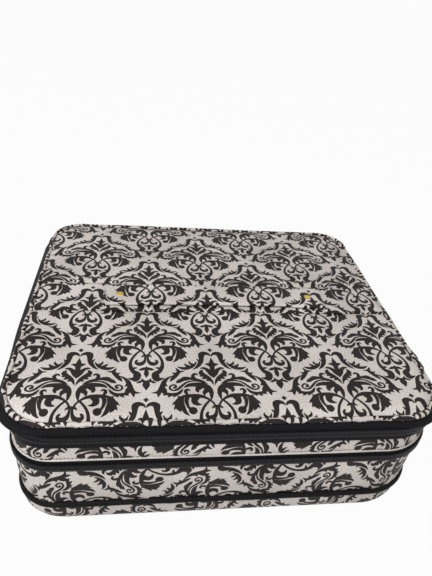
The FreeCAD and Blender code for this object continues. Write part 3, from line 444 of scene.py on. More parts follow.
def wave(s, count, phase=0.0):
    """Ripple along the edge that meets itself after one round of the case."""
    return np.sin(math.tau * count * s / RIM_LENGTH + phase)


DENT_DEPTH = 9.0
DENT_CORNER = 40.0
DENT_START = 330.0
DENT_RUN = 70.0
DENT_RISE = 35.0
DENT_END = 121.0
DENT_FADE = 17.0


def eased(share):
    """Share clipped to 0 and 1, with soft ends."""
    share = np.clip(share, 0, 1)
    return share * share * (3 - 2 * share)


def corner_push(s, radius):
    """How far a tighter corner stands out past the rounder corners of the case."""
    _, outward = rim(s)
    small, large = np.sort(np.abs(outward), axis=-1).T
    step = CORNER - radius
    on_side = CORNER * small / large < step
    reach = radius ** 2 - (step * (large - small)) ** 2
    round_part = step * (small + large) + np.sqrt(np.maximum(reach, 0))
    return np.where(on_side, CORNER / large, round_part) - CORNER


def dent(s, z):
    """How far the soft left wall is pressed in near its front corner.

    The corner itself is tighter there, between floor and lid.
    """
    _, outward = rim(s)
    leftward = np.maximum(-outward[:, 0], 0)
    pressed = DENT_DEPTH * leftward ** 2 * eased((s - DENT_START) / DENT_RUN)
    at_corner = (leftward > 0) & (outward[:, 1] < 0)
    pressed = pressed - np.where(at_corner, corner_push(s, DENT_CORNER), 0)
    return pressed * eased(z / DENT_RISE) * eased((DENT_END - z) / DENT_FADE)


def round_the_case(inset, height):
    """Way of laying a strip round the case: inset and height are functions of the strip's own (s, v)."""
    def place(flat):
        s, v = flat[:, 0], flat[:, 1]
        edge, outward = rim(s)
        z = height(s, v)
        edge = edge - outward * (inset(s, v) + dent(s, z))[:, None]
        return np.column_stack((edge, z))
    return place


def new_piece(name, mesh, materials):
    """Link a mesh as a piece with its materials, shaded smooth."""
    for material in materials:
        mesh.materials.append(material)
    mesh.shade_smooth()
    piece = bpy.data.objects.new(name, mesh)
    scene.collection.objects.link(piece)
    return piece


def lay_flat_mesh(mesh, place):
    """Give a flat mesh its cloth coordinates, then move it to its place on the case."""
    flat = np.empty(len(mesh.vertices) * 3)
    mesh.vertices.foreach_get("co", flat)
    flat = flat.reshape(-1, 3)[:, :2]
    corners = np.empty(len(mesh.loops), np.int32)
    mesh.loops.foreach_get("vertex_index", corners)
    cloth = mesh.uv_layers.new(name="cloth")
    cloth.uv.foreach_set("vector", flat[corners].ravel())
    mesh.vertices.foreach_set("co", (place(flat) * MM).ravel())
    mesh.update()


def printed_sheet(name, low, high, knot, place, trims=(), quarter_turns=0):
    """Cut a sheet from the printed cloth, low to high and inside the trims, and lay it in place.

    The print has a knot at the point given and may run sideways along the cut, by quarter turns.
    """
    low, high = np.array(low, float), np.array(high, float)
    cosine, sine = ((1, 0), (0, 1), (-1, 0), (0, -1))[quarter_turns]
    turned = np.array(((cosine, sine), (-sine, cosine)))
    ends = (np.array((low, high)) - knot) @ turned.T
    first, last = ends.min(0), ends.max(0)
    rows = [math.floor(edge / (REPEAT_HEIGHT / 2)) for edge in (first[1], last[1])]
    points, triangles, inked = [], [], []
    count = 0
    for row in range(rows[0] - 1, rows[1] + 2):
        shift = row % 2 * REPEAT_WIDTH / 2
        columns = [math.floor((edge - shift) / REPEAT_WIDTH) for edge in (first[0], last[0])]
        for column in range(columns[0] - 1, columns[1] + 2):
            here = TILE_POINTS + (shift + column * REPEAT_WIDTH, row * REPEAT_HEIGHT / 2)
            corners = here[TILE_TRIANGLES]
            inside = (corners.max(1) > first).all(1) & (corners.min(1) < last).all(1)
            if inside.any():
                points.append(here)
                triangles.append(TILE_TRIANGLES[inside] + count)
                inked.append(TILE_INKED[inside])
                count += len(here)
    points = np.concatenate(points) @ turned + knot
    mesh = bpy.data.meshes.new(name)
    mesh.from_pydata(np.column_stack((points, np.zeros(len(points)))), [], np.concatenate(triangles))
    mesh.polygons.foreach_set("material_index", np.concatenate(inked).astype(np.int32))
    bm = bmesh.new()
    bm.from_mesh(mesh)
    bmesh.ops.delete(bm, geom=[vert for vert in bm.verts if not vert.link_faces], context="VERTS")
    bmesh.ops.remove_doubles(bm, verts=bm.verts, dist=WELD)
    sides = [(low, (-1, 0)), (low, (0, -1)), (high, (1, 0)), (high, (0, 1))]
    for point, outward in sides + list(trims):
        bmesh.ops.bisect_plane(
            bm, geom=bm.verts[:] + bm.edges[:] + bm.faces[:], dist=CUT_DISTANCE,
            plane_co=(*point, 0), plane_no=(*outward, 0), clear_outer=True)
    bmesh.ops.dissolve_degenerate(bm, dist=WELD, edges=bm.edges)
    bm.to_mesh(mesh)
    bm.free()
    lay_flat_mesh(mesh, place)
    return new_piece(name, mesh, (CREAM, INK))


def corner_trims(half_x, half_y, radius, quarters):
    """Cutting lines that round the corners of a cut piece, given by the signs of each corner."""
    trims = []
    for sign_x, sign_y in quarters:
        for step in range(1, TRIM_STEPS):
            turn = math.pi / 2 * step / TRIM_STEPS
            outward = (sign_x * math.cos(turn), sign_y * math.sin(turn))
            middle = (sign_x * (half_x - radius), sign_y * (half_y - radius))
            trims.append(((middle[0] + radius * outward[0], middle[1] + radius * outward[1]), outward))
    return trims


def thick_cloth(piece, thickness):
    """Give a cut sheet the thickness of its padding, inwards."""
    wall = piece.modifiers.new("padding", "SOLIDIFY")
    wall.thickness = thickness * MM
    wall.offset = -1


def tuck_under(piece, depth):
    """Fold a panel's cut edge down by the depth and close the panel there."""
    bm = bmesh.new()
    bm.from_mesh(piece.data)
    rim_edges = [edge for edge in bm.edges if edge.is_boundary]
    fold = bmesh.ops.extrude_edge_only(bm, edges=rim_edges)["geom"]
    lower = [item for item in fold if isinstance(item, bmesh.types.BMVert)]
    bmesh.ops.translate(bm, verts=lower, vec=(0, 0, -depth * MM))
    bmesh.ops.holes_fill(bm, edges=[edge for edge in bm.edges if edge.is_boundary], sides=0)
    bm.to_mesh(piece.data)
    bm.free()
    piece.data.shade_smooth()


def levels(node):
    """Lowest and highest level of a CAD solid, in millimetres."""
    return [corner.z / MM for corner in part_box(node)]


PAN_INSET = 3.0
PAN_ROUND = 22.0
PAN_THICK = 1.8
PAN_KNOT = (627.6, 106.0)
PRINT_RIGHT = 3
pan_top = levels("base_pan")[1]
pan_curve = PAN_ROUND * math.pi / 2


def pan_inset(s, v):
    """Inset of the pan's cloth at length v up from its flat bottom."""
    return PAN_INSET + PAN_ROUND * (1 - np.sin(np.minimum(v, pan_curve) / PAN_ROUND))


def pan_height(s, v):
    """Height of the pan's cloth at length v up from its flat bottom."""
    return PAN_ROUND * (1 - np.cos(np.minimum(v, pan_curve) / PAN_ROUND)) + np.maximum(v - pan_curve, 0)


base_pan = printed_sheet(
    "base_pan_cloth", (0, 0), (RIM_LENGTH, pan_curve + pan_top - PAN_ROUND), PAN_KNOT,
    round_the_case(pan_inset, pan_height), quarter_turns=PRINT_RIGHT)
thick_cloth(base_pan, PAN_THICK)
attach(base_pan, "base")
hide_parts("base_pan")

bottom_x = HALF_WIDTH - PAN_INSET - PAN_ROUND
bottom_y = HALF_DEPTH - PAN_INSET - PAN_ROUND
base_bottom = printed_sheet(
    "base_bottom_cloth", (-bottom_x, -bottom_y), (bottom_x, bottom_y), PAN_KNOT,
    lambda flat: np.column_stack((-flat[:, 0], flat[:, 1], np.zeros(len(flat)))),
    corner_trims(bottom_x, bottom_y, CORNER - PAN_INSET - PAN_ROUND, ((1, 1), (1, -1), (-1, 1), (-1, -1))))
tuck_under(base_bottom, -PAN_THICK)
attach(base_bottom, "base")


# Black welt: a cord wrapped in black cloth, sewn between the pan and the base wall.
# It is hand-fed, so it wanders and swells a little along its run.
WELT_INSET = 3.5
WELT_RADIUS = 2.9
WELT_STEPS = 260
WELT_SIDES = 12
SWELL_COUNTS = (11, 7)
SWELL_PHASE = 1.0
WANDER_COUNTS = (5, 15)
WANDER_PHASE = 2.0
WANDER_SECOND = 0.6
RIB_WOBBLE = 0.4
RIB_STRENGTH = 0.6
# Painted light on the ribs: the grooves are darkened as painted shade and the high yarns lightened as painted
# highlight.
RIB_GROOVE_SHADE = 0.45
RIB_PAINTED_HIGHLIGHT = 2.2
RIB_HIGHLIGHT_UP_TO = 0.7
LINT_SCALE = 0.7
LINT_DETAIL = 4
DULL_PLAY = 0.1


def tinted(colour, share):
    """Colour made darker or lighter, with full cover."""
    return (*[min(part * share, 1) for part in colour], 1)


def woven_black(name, colour, roughness, rib_scale, rib_axis, height, specular=0.08):
    """Black narrow-woven cloth: ribs across the strip's own run, with painted shade in the grooves and a
    painted highlight on the high yarns.
    """
    material, tree, shader = new_material(name)
    cloth = add_node(tree, "UVMap", {}, uv_map="cloth")
    ribbing = {"Vector": cloth, "Scale": rib_scale, "Distortion": RIB_WOBBLE}
    rib = add_node(tree, "TexWave", ribbing, "Fac", bands_direction=rib_axis)
    lint = noise(tree, cloth, LINT_SCALE, LINT_DETAIL)
    shade = add_node(tree, "Math", {0: rib, 1: lint}, operation="MULTIPLY")
    # The colour follows the rib height, with random lint on top: painted shade low in the grooves, painted
    # highlight up on the yarns.
    stops = ((0, tinted(colour, RIB_GROOVE_SHADE)), (RIB_HIGHLIGHT_UP_TO, tinted(colour, RIB_PAINTED_HIGHLIGHT)))
    relief = {"Height": rib, "Strength": RIB_STRENGTH, "Distance": height * MM}
    wire(tree, shader, {
        "Base Color": colour_ramp(tree, shade, stops),
        "Roughness": between(tree, lint, roughness - DULL_PLAY, roughness + DULL_PLAY),
        "Normal": add_node(tree, "Bump", relief), "Specular IOR Level": specular})
    return material


WELT_CLOTH = woven_black(
    "black_welt_cloth", (0.007, 0.0065, 0.007),
    roughness=0.6, rib_scale=0.32, rib_axis="DIAGONAL", height=0.1)


def grid_mesh(name, columns, rows, flatten):
    """Flat grid; flatten turns the shares along its two sides into its millimetres."""
    bm = bmesh.new()
    bmesh.ops.create_grid(bm, x_segments=columns, y_segments=rows, size=0.5)
    mesh = mesh_of(name, bm)
    points = np.empty(len(mesh.vertices) * 3)
    mesh.vertices.foreach_get("co", points)
    points = points.reshape(-1, 3)
    points[:, 0], points[:, 1] = flatten(points[:, 0] + 0.5, points[:, 1] + 0.5)
    mesh.vertices.foreach_set("co", points.ravel())
    return mesh


def swept_strip(name, steps, section, material, span=None):
    """Strip along the case's edge, all the way round or over a span with closed ends.

    The section gives inset and height at each length along the edge and each mark round itself.
    """
    start, end = span or (0, RIM_LENGTH)
    around = len(section.marks) - 1
    mesh = grid_mesh(name, steps, around, lambda run, turn: (
        start + run * (end - start), np.interp(turn * around, np.arange(around + 1), section.marks)))
    lay_flat_mesh(mesh, round_the_case(section.inset, section.height))
    closed = bmesh.new()
    closed.from_mesh(mesh)
    bmesh.ops.remove_doubles(closed, verts=closed.verts, dist=WELD * MM)
    if span:
        bmesh.ops.holes_fill(closed, edges=[edge for edge in closed.edges if edge.is_boundary], sides=0)
    closed.to_mesh(mesh)
    closed.free()
    return new_piece(name, mesh, (material,))


class RoundSection:
    """Round cord section about a centre line that may wander, its seam on the side away from view."""

    def __init__(self, inset, height, radius, sides, wander, swell):
        self.middle, self.level, self.radius = inset, height, radius
        self.marks = np.linspace(0, math.tau * radius, sides + 1)
        self.wander, self.swell = wander, swell

    def thickness(self, s):
        ripple = wave(s, SWELL_COUNTS[0]) * wave(s, SWELL_COUNTS[1], SWELL_PHASE)
        return self.radius * (1 + self.swell * ripple)

    def inset(self, s, v):
        return self.middle + self.thickness(s) * np.cos(v / self.radius)

    def height(self, s, v):
        drift = wave(s, WANDER_COUNTS[0]) + WANDER_SECOND * wave(s, WANDER_COUNTS[1], WANDER_PHASE)
        return self.level + self.wander * drift - self.thickness(s) * np.sin(v / self.radius)


welt_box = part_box("base_welt")
welt_level = (welt_box[0].z + welt_box[1].z) / 2 / MM
welt_section = RoundSection(WELT_INSET, welt_level, WELT_RADIUS, WELT_SIDES, wander=0.22, swell=0.09)
base_welt = swept_strip("base_welt_cord", WELT_STEPS, welt_section, WELT_CLOTH)
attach(base_welt, "base")
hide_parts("base_welt")


# Base wall: padded printed cloth round the deep lower storey, drawn in at its two seams.
# The padding is quilted to the stiffener only at the edges.
# So it swells between them and puckers beside them.
BASE_WALL_KNOT = (654.1, 80.5)
PRINT_LEFT = 1
WALL_PUCKER = 0.25
SEAM_FALL = 12
PUCKERS = 36
PUCKER_DRIFTS = 5
PUCKER_DRIFT = 2
BROAD_PUCKERS = 17
BROAD_PHASE = 1.3
BROAD_SHARE = 0.7
WALL_SLACK = 0.35
SLACK_FOLDS = 6
SLACK_SLANT = 19.0


def wall_inset(low, high, low_inset, high_inset, bulge):
    """Inset of a padded wall between two seams, with small puckers that die out from the seams."""
    def inset(s, v):
        t = (v - low) / (high - low)
        belly = 4 * t * (1 - t)
        plain = low_inset + (high_inset - low_inset) * t - bulge * belly
        near_seam = np.exp(-(t * (1 - t) * SEAM_FALL) ** 2)
        pucker = wave(s, PUCKERS, PUCKER_DRIFT * wave(s, PUCKER_DRIFTS))
        pucker = pucker + BROAD_SHARE * wave(s, BROAD_PUCKERS, BROAD_PHASE)
        slack = WALL_SLACK * wave(s, SLACK_FOLDS, v / SLACK_SLANT) * belly
        return plain + WALL_PUCKER * near_seam * pucker + slack
    return inset


def case_wall(name, node, knot, quarter_turns, low_inset, high_inset, bulge, padding):
    """Printed wall between the seams of a CAD wall."""
    low, high = levels(node)
    wall = printed_sheet(
        name, (0, low), (RIM_LENGTH, high), knot,
        round_the_case(wall_inset(low, high, low_inset, high_inset, bulge), lambda s, v: v),
        quarter_turns=quarter_turns)
    thick_cloth(wall, padding)
    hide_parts(node)
    return wall


base_wall = case_wall(
    "base_wall_cloth", "base_wall", BASE_WALL_KNOT, PRINT_LEFT,
    low_inset=3.5, high_inset=3.2, bulge=1.1, padding=1.4)
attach(base_wall, "base")


# Base lining: black polyester sewn in as a bag, over the stiffener boards and the bottom board.
# It rounds into the floor, and its top edge is caught in the zip seam.
LINING_INSET = 7.55
LINING_THICK = 1.3
LINING_STEPS = 200
ROUND_STEPS = 6
SLAB_STEPS = 140
LEAN_SHARPNESS = 4
HEM_SOFT = 0.5
FLOOR_LAP = 0.6
LEVEL_FACE = 0.5
BASE_BAG_ROUND = 18.0
BOARD_INSET = 5.05
BOARD_THICK = 2.45
WEAR_DETAIL = 3
WEAR_FROM = 0.3
WEAR_UP_TO = 0.75
WEAR_DARK = 0.6
WEAR_LIGHT = 1.6
WEAR_POLISH = 0.08
WEAR_DULL = 0.12


def worn_finish(name, colour, roughness, mottle_scale, metallic=0.0, specular=0.5):
    """Smooth stuff, mostly dark, with a slight wear polish."""
    material, tree, shader = new_material(name)
    wear = noise(tree, add_node(tree, "TexCoord", {}, "Object"), mottle_scale, WEAR_DETAIL)
    stops = ((WEAR_FROM, tinted(colour, WEAR_DARK)), (WEAR_UP_TO, tinted(colour, WEAR_LIGHT)))
    wire(tree, shader, {
        "Base Color": colour_ramp(tree, wear, stops), "Metallic": metallic, "Specular IOR Level": specular,
        "Roughness": between(tree, wear, roughness - WEAR_POLISH, roughness + WEAR_DULL)})
    return material


LINING_CLOTH = woven_black(
    "black_lining_cloth", (0.020, 0.020, 0.022), roughness=0.5, rib_scale=0.5, rib_axis="X", height=0.05,
    specular=0.35)
FIBRE_BOARD = worn_finish("grey_fibre_board", (0.06, 0.057, 0.054), roughness=0.8, mottle_scale=220)


class OutlineSection:
    """Section given as its closed outline of (inset, height) points, up the outside first."""

    def __init__(self, outline):
        self.outline = np.array(outline + outline[:1], float)
        spans = np.linalg.norm(np.diff(self.outline, axis=0), axis=1)
        self.marks = np.concatenate(((0,), np.cumsum(spans)))

    def inset(self, s, v):
        return np.interp(v, self.marks, self.outline[:, 0])

    def height(self, s, v):
        return np.interp(v, self.marks, self.outline[:, 1])


def bag_outline(low, high, radius):
    """Lining wall that rounds into its floor: up the outside, over the hem and down the inside."""
    turns = [math.pi / 2 * step / ROUND_STEPS for step in range(ROUND_STEPS + 1)]
    middle, level, inner = LINING_INSET + radius, low + radius, radius - LINING_THICK
    outside = [(middle - radius * math.sin(turn), level - radius * math.cos(turn)) for turn in turns]
    inside = [(middle - inner * math.sin(turn), level - inner * math.cos(turn)) for turn in turns]
    hem_places = ((0, high - HEM_SOFT), (LINING_THICK / 2, high), (LINING_THICK, high - HEM_SOFT))
    return outside + [(LINING_INSET + place, height) for place, height in hem_places] + inside[::-1]


def tape_outline(low, high, inset, thick, lean=0.0, rows=8):
    """Flat strip from one height to another, turned inwards at the top by the lean."""
    shares = [row / rows for row in range(rows + 1)]
    outside = [(inset + lean * share ** LEAN_SHARPNESS, low + (high - low) * share) for share in shares]
    return outside + [(place + thick, height) for place, height in outside[::-1]]


def planned(name, bm, material):
    """Finish a small worked mesh: cloth coordinates from its place, then make the piece."""
    cloth = bm.loops.layers.uv.new("cloth")
    for face in bm.faces:
        for corner in face.loops:
            x, y, z = corner.vert.co / MM
            corner[cloth].uv = (x, y) if abs(face.normal.z) > LEVEL_FACE else (x + y, z)
    return new_piece(name, mesh_of(name, bm), (material,))


def cloth_slab(name, inset, low, high, edge, material):
    """Flat panel cut to the case's outline, with softened edges, its cloth coordinates taken in plan."""
    bm = bmesh.new()
    outline = round_the_case(lambda s, v: inset + 0 * s, lambda s, v: v)
    s = np.arange(SLAB_STEPS) * RIM_LENGTH / SLAB_STEPS
    places = outline(np.column_stack((s, np.full(SLAB_STEPS, high))))
    top = bm.faces.new([bm.verts.new(Vector(place) * MM) for place in places])
    below = bmesh.ops.extrude_face_region(bm, geom=[top], use_keep_orig=True)["geom"]
    lower = [item for item in below if isinstance(item, bmesh.types.BMVert)]
    bmesh.ops.translate(bm, verts=lower, vec=(0, 0, (low - high) * MM))
    bmesh.ops.recalc_face_normals(bm, faces=bm.faces)
    hard = [bend for bend in bm.edges if bend.calc_face_angle(0) > math.pi / 4]
    bmesh.ops.bevel(bm, geom=hard, offset=edge * MM, segments=2, profile=0.5, affect="EDGES", material=-1)
    return planned(name, bm, material)


def lining_bag(node, radius, body):
    """Lining wall and floor that stand for a CAD lining."""
    low, high = levels(node)
    section = OutlineSection(bag_outline(low, high, radius))
    wall = swept_strip(f"{node}_wall", LINING_STEPS, section, LINING_CLOTH)
    reach = LINING_INSET + radius - FLOOR_LAP
    bottom = cloth_slab(f"{node}_floor", reach, low, low + LINING_THICK, edge=0.25, material=LINING_CLOTH)
    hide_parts(node)
    for piece in (wall, bottom):
        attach(piece, body)


def wall_board(node, body):
    """Stiffener strip behind a padded wall."""
    section = OutlineSection(tape_outline(*levels(node), BOARD_INSET, BOARD_THICK))
    strip = swept_strip(f"{node}_strip", LINING_STEPS, section, FIBRE_BOARD)
    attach(strip, body)
    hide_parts(node)


def paint(material, *nodes):
    """Give solids of the frame a material in place of their plain one."""
    for node in nodes:
        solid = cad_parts[node].data
        solid.materials.clear()
        solid.materials.append(material)


lining_bag("base_lining", BASE_BAG_ROUND, "base")
wall_board("base_wall_board", "base")
paint(FIBRE_BOARD, "base_board")


# Dividers: foam walls in black lining cloth that part the base into cells.
# Each is quilted down its middle and bound along its top with a folded tape.
BINDING_DEPTH = 7.0
BINDING_PROUD = 0.45
BINDING_SHORT = 0.4
DIVIDER_EDGE = 2.0
LONG_EDGE = 4
FACE_FROM = 0.9
BINDING_CLOTH = woven_black(
    "black_binding_tape", (0.012, 0.012, 0.013), roughness=0.5, rib_scale=0.45, rib_axis="X", height=0.1,
    specular=0.3)
DIVIDERS = (
    "divider_long", "divider_front_left", "divider_front_right", "divider_rear_left", "divider_rear_right")


def bevelled_cube(size, bevel, segments):
    """Worked block with softened edges, its middle at the origin."""
    bm = bmesh.new()
    bmesh.ops.create_cube(bm, size=1.0)
    bmesh.ops.scale(bm, vec=Vector(size) * MM, verts=bm.verts)
    bmesh.ops.bevel(
        bm, geom=bm.edges[:], offset=bevel * MM, segments=segments, profile=0.5, affect="EDGES", material=-1)
    return bm


def thin_axis(size):
    """The axis, x or y, across which a standing wall is thin."""
    return 0 if size.x < size.y else 1


def soft_block(name, low, high, edge, material, cuts, swell=0.0):
    """Padded block between two corners (mm): softened edges, and faces that swell between their seams."""
    low, high = Vector(low), Vector(high)
    size, middle = high - low, (high + low) / 2
    thin = thin_axis(size)
    bm = bevelled_cube(size, edge, segments=3)
    long_edges = [bend for bend in bm.edges if bend.calc_length() > LONG_EDGE * edge * MM]
    bmesh.ops.subdivide_edges(bm, edges=long_edges, cuts=cuts, use_grid_fill=True)
    half = size / 2 * MM
    for vert in bm.verts:
        if abs(vert.co[thin]) > half[thin] * FACE_FROM:
            share_run = vert.co[1 - thin] / half[1 - thin]
            share_up = vert.co.z / half.z
            puff = (1 - share_run ** 2) * math.sin(math.pi * abs(share_up))
            vert.co[thin] += math.copysign(swell * MM * puff, vert.co[thin])
    bmesh.ops.translate(bm, verts=bm.verts, vec=middle * MM)
    return planned(name, bm, material)


def corners(node):
    """Lowest and highest corner of a CAD solid's box, in millimetres."""
    return [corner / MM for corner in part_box(node)]


for node in DIVIDERS:
    low, high = corners(node)
    pad = soft_block(f"{node}_pad", low, high, DIVIDER_EDGE, LINING_CLOTH, cuts=7, swell=0.4)
    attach(pad, "base")
    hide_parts(node)
    proud = Vector((-BINDING_SHORT, -BINDING_SHORT, 0))
    proud[thin_axis(high - low)] = BINDING_PROUD
    binding = soft_block(
        f"{node}_binding", Vector((low.x, low.y, high.z - BINDING_DEPTH)) - proud,
        high + proud + Vector((0, 0, BINDING_PROUD)), DIVIDER_EDGE, BINDING_CLOTH, cuts=2)
    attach(binding, "base")


# Zips: two coil zips run round the case, each a pair of ribbed tapes with a moulded coil on its edge.
# The upper and the lower coil mesh half a pitch apart.
# They stop at the rear corners, where the hinge cloth takes over.
ZIP_LEVELS = {"base": 82.7, "lid": 113.5}
TOOTH_PITCH = 1.3
TOOTH_WIDTH = 0.78
TOOTH_HEIGHT = 2.7
ZIP_GAP = 0.3
TOOTH_DEPTH = 1.8
TOOTH_BEVEL = 0.22
COIL_INSET = 0.2
QUARTER_PITCH = 0.25
TAPE_INSET = 2.0
TAPE_THICK = 1.0
REAR_CUT = 140.0
cut_turn = math.acos((REAR_CUT - HALF_DEPTH + CORNER) / CORNER)
ZIP_START = HALF_WIDTH - CORNER + CORNER * cut_turn
ZIP_SPAN = (ZIP_START, RIM_LENGTH - ZIP_START)
ZIP_STEPS = 240
LID_TAPE_LEAN = 5.0
PUSH_PEAK = 0.6
GUSSET_CORNER = 37.0
TAPE_CLOTH = woven_black(
    "black_zip_tape", (0.0065, 0.006, 0.007), roughness=0.62, rib_scale=0.62, rib_axis="X", height=0.12)
COIL_NYLON = worn_finish(
    "black_coil_nylon", (0.012, 0.011, 0.013), roughness=0.4, mottle_scale=900, specular=0.3)
tooth = mesh_of("tooth", bevelled_cube((TOOTH_WIDTH, TOOTH_DEPTH, TOOTH_HEIGHT), TOOTH_BEVEL, segments=1))


def repeated(name, unit, places, material):
    """Many copies of one small shape, joined as one piece."""
    bm = bmesh.new()
    for matrix in places:
        copy = unit.copy()
        copy.transform(matrix)
        bm.from_mesh(copy)
        bpy.data.meshes.remove(copy)
    return new_piece(name, mesh_of(name, bm), (material,))


def stations(span, pitch, inset, height, offset=0.0):
    """Frames at even steps along the case's edge: x along the run, y outwards, z up, in metres."""
    count = int((span[1] - span[0]) / pitch)
    s = span[0] + (np.arange(count) + 0.5 + offset) * (span[1] - span[0]) / count
    edge, outward = rim(s)
    frames = []
    for place, normal in zip(edge - outward * (inset + dent(s, height))[:, None], outward):
        run = Vector((normal[1], -normal[0], 0))
        turn = Matrix((run, Vector((*normal, 0)), Vector((0, 0, 1)))).transposed().to_4x4()
        frames.append(Matrix.Translation(Vector((*place, height)) * MM) @ turn)
    return frames


class OverhangSection(OutlineSection):
    """Outline section whose middle stands out at the corners."""

    def inset(self, s, v):
        heights = self.height(s, v)
        low, high = self.outline[:, 1].min(), self.outline[:, 1].max()
        start = max(low, ZIP_LEVELS["lid"])
        share = np.clip((heights - start) / (high - start), 0, 1)
        rise = np.where(share < PUSH_PEAK, share / PUSH_PEAK, (1 - share) / (1 - PUSH_PEAK))
        return super().inset(s, v) - corner_push(s, GUSSET_CORNER) * rise * (2 - rise)


def tape_section(low, high, lean, **rows):
    """Section of a tape; one that leans in at the lid also stands out at the corners."""
    section = OverhangSection if lean else OutlineSection
    return section(tape_outline(low, high, TAPE_INSET, TAPE_THICK, lean, **rows))


def zip_half(node_prefix, level, side, body, lean=0.0):
    """One half of a zip: side is +1 above the joint line and -1 below it."""
    middle = level + side * (ZIP_GAP + TOOTH_HEIGHT / 2)
    shift = QUARTER_PITCH * side
    places = stations(ZIP_SPAN, TOOTH_PITCH, COIL_INSET + TOOTH_DEPTH / 2, middle, shift)
    coil = repeated(f"{node_prefix}_coil_teeth", tooth, places, COIL_NYLON)
    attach(coil, body)
    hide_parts(f"{node_prefix}_coil")
    near, far = level + side * ZIP_GAP, levels(f"{node_prefix}_tape")[side > 0]
    section = tape_section(min(near, far), max(near, far), lean)
    tape = swept_strip(f"{node_prefix}_tape_cloth", ZIP_STEPS, section, TAPE_CLOTH, ZIP_SPAN)
    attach(tape, body)
    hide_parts(f"{node_prefix}_tape")


zip_half("base_zip_lower", ZIP_LEVELS["base"], -1, "base")
zip_half("base_zip_upper", ZIP_LEVELS["base"], 1, "tray")
zip_half("lid_zip_lower", ZIP_LEVELS["lid"], -1, "tray")
zip_half("lid_zip_upper", ZIP_LEVELS["lid"], 1, "lid", LID_TAPE_LEAN)


# Rear hinges: doubled black cloth along the back, sewn to the storey below and to the one above.
# There is no pin, and the cloth itself folds along the zip line.
HINGE_STEPS = 80
HINGE_ROWS = 14
HINGE_CLOTH = woven_black(
    "black_hinge_cloth", (0.009, 0.009, 0.010),
    roughness=0.65, rib_scale=0.55, rib_axis="DIAGONAL", height=0.1)


def cloth_hinge(name, lower_node, upper_node, lean=0.0):
    """Hinge strip across the gap between two storeys, from the lower one's leaf to the upper one's."""
    section = tape_section(levels(lower_node)[0], levels(upper_node)[1], lean, rows=HINGE_ROWS)
    strip = swept_strip(name, HINGE_STEPS, section, HINGE_CLOTH, (-ZIP_START, ZIP_START))
    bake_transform(strip)
    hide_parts(lower_node, upper_node)


cloth_hinge(
    "base_hinge_cloth", "base_hinge_leaf", "tray_lower_hinge_leaf")
cloth_hinge(
    "lid_hinge_cloth", "tray_upper_hinge_leaf", "lid_hinge_leaf",
    LID_TAPE_LEAN)


# Tray wall: the same printed padding, round the shallow upper storey between the two zips.
# Its print runs the other way round from the base wall's, as the two strips were cut.
TRAY_WALL_KNOT = (605.6, 75.5)
tray_wall = case_wall(
    "tray_wall_cloth", "tray_wall", TRAY_WALL_KNOT, PRINT_RIGHT,
    low_inset=3.2, high_inset=3.2, bulge=0.8, padding=1.4)
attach(tray_wall, "tray")


# Tray hem: the wall's cloth turned under along the lower zip.
# The fold is top-stitched a little above it in dark thread.
HEM_RADIUS = 0.8
HEM_SIDES = 8
HEM_INSET = 3.0
HEM_RISE = 0.7
STITCH_RISE = 2.4
STITCH_PITCH = 2.7
STITCH_SIZE = (1.7, 0.45, 0.45)
STITCH_BEVEL = 0.15
STITCH_PROUD = 0.3
hem_level = levels("tray_wall")[0] + HEM_RISE
hem_section = RoundSection(HEM_INSET, hem_level, HEM_RADIUS, HEM_SIDES, wander=0.1, swell=0.1)
tray_hem = swept_strip("tray_hem_fold", WELT_STEPS, hem_section, CREAM)
THREAD = worn_finish("dark_thread", (0.03, 0.027, 0.026), roughness=0.6, mottle_scale=600)
stitch = mesh_of("stitch", bevelled_cube(STITCH_SIZE, STITCH_BEVEL, segments=1))
hem_places = stations((0, RIM_LENGTH), STITCH_PITCH, HEM_INSET - STITCH_PROUD, hem_level + STITCH_RISE)
hem_stitches = repeated("tray_hem_stitches", stitch, hem_places, THREAD)
for piece in (tray_hem, hem_stitches):
    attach(piece, "tray")


# Tray lining and floor: a shallow bag of the same black polyester over a board covered in black cloth.
# It closes the base from above when the lid is open, and its top edge is caught in the lid's zip seam.
TRAY_BAG_ROUND = 4.0
FLOOR_CLOTH = worn_finish("black_floor_cloth", (0.012, 0.012, 0.013), roughness=0.6, mottle_scale=700)
lining_bag("tray_lining", TRAY_BAG_ROUND, "tray")
wall_board("tray_board", "tray")
tray_floor = cloth_slab(
    "tray_floor_board", BOARD_INSET, *levels("tray_floor"), edge=0.4, material=FLOOR_CLOTH)
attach(tray_floor, "tray")
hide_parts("tray_floor")


# Brush holder: a long pocket sewn down into slots, and an elastic tape stitched into loops behind it.
# The pocket's open edge is bound like the dividers.
POCKET_SLOT = 35.0
LOOP_PITCH = 28.0
CLOTH_THIN = 0.45
HOLDER_COLUMNS = 160
HOLDER_ROWS = 8
SEWN_GAP = 0.1
SEAM_THREAD_RISE = 0.2
POCKET_BOUND = 4.0
POCKET_OVER = 1.0
POCKET_UNDER = 0.2
POCKET_PROUD = 0.5
POCKET_EDGE = 0.5
ELASTIC = woven_black(
    "black_elastic", (0.026, 0.026, 0.028), roughness=0.65, rib_scale=0.35, rib_axis="Y", height=0.2,
    specular=0.25)
GREY_THREAD = worn_finish("grey_thread", (0.10, 0.098, 0.095), roughness=0.6, mottle_scale=600)


def stitched_down(name, node, pitch, fullness, material):
    """Cloth sewn down along lines a pitch apart, standing up between them."""
    low, high = corners(node)
    mesh = grid_mesh(name, HOLDER_COLUMNS, HOLDER_ROWS, lambda run, depth: (
        low.x + run * (high.x - low.x), low.y + depth * (high.y - low.y)))
    sewn = low.z + CLOTH_THIN + SEWN_GAP

    def place(plan):
        lift = np.abs(np.sin(math.pi * (plan[:, 0] - low.x) / pitch)) ** fullness
        return np.column_stack((plan, sewn + (high.z - sewn) * lift))

    lay_flat_mesh(mesh, place)
    piece = new_piece(name, mesh, (material,))
    thick_cloth(piece, CLOTH_THIN)
    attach(piece, "tray")
    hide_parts(node)


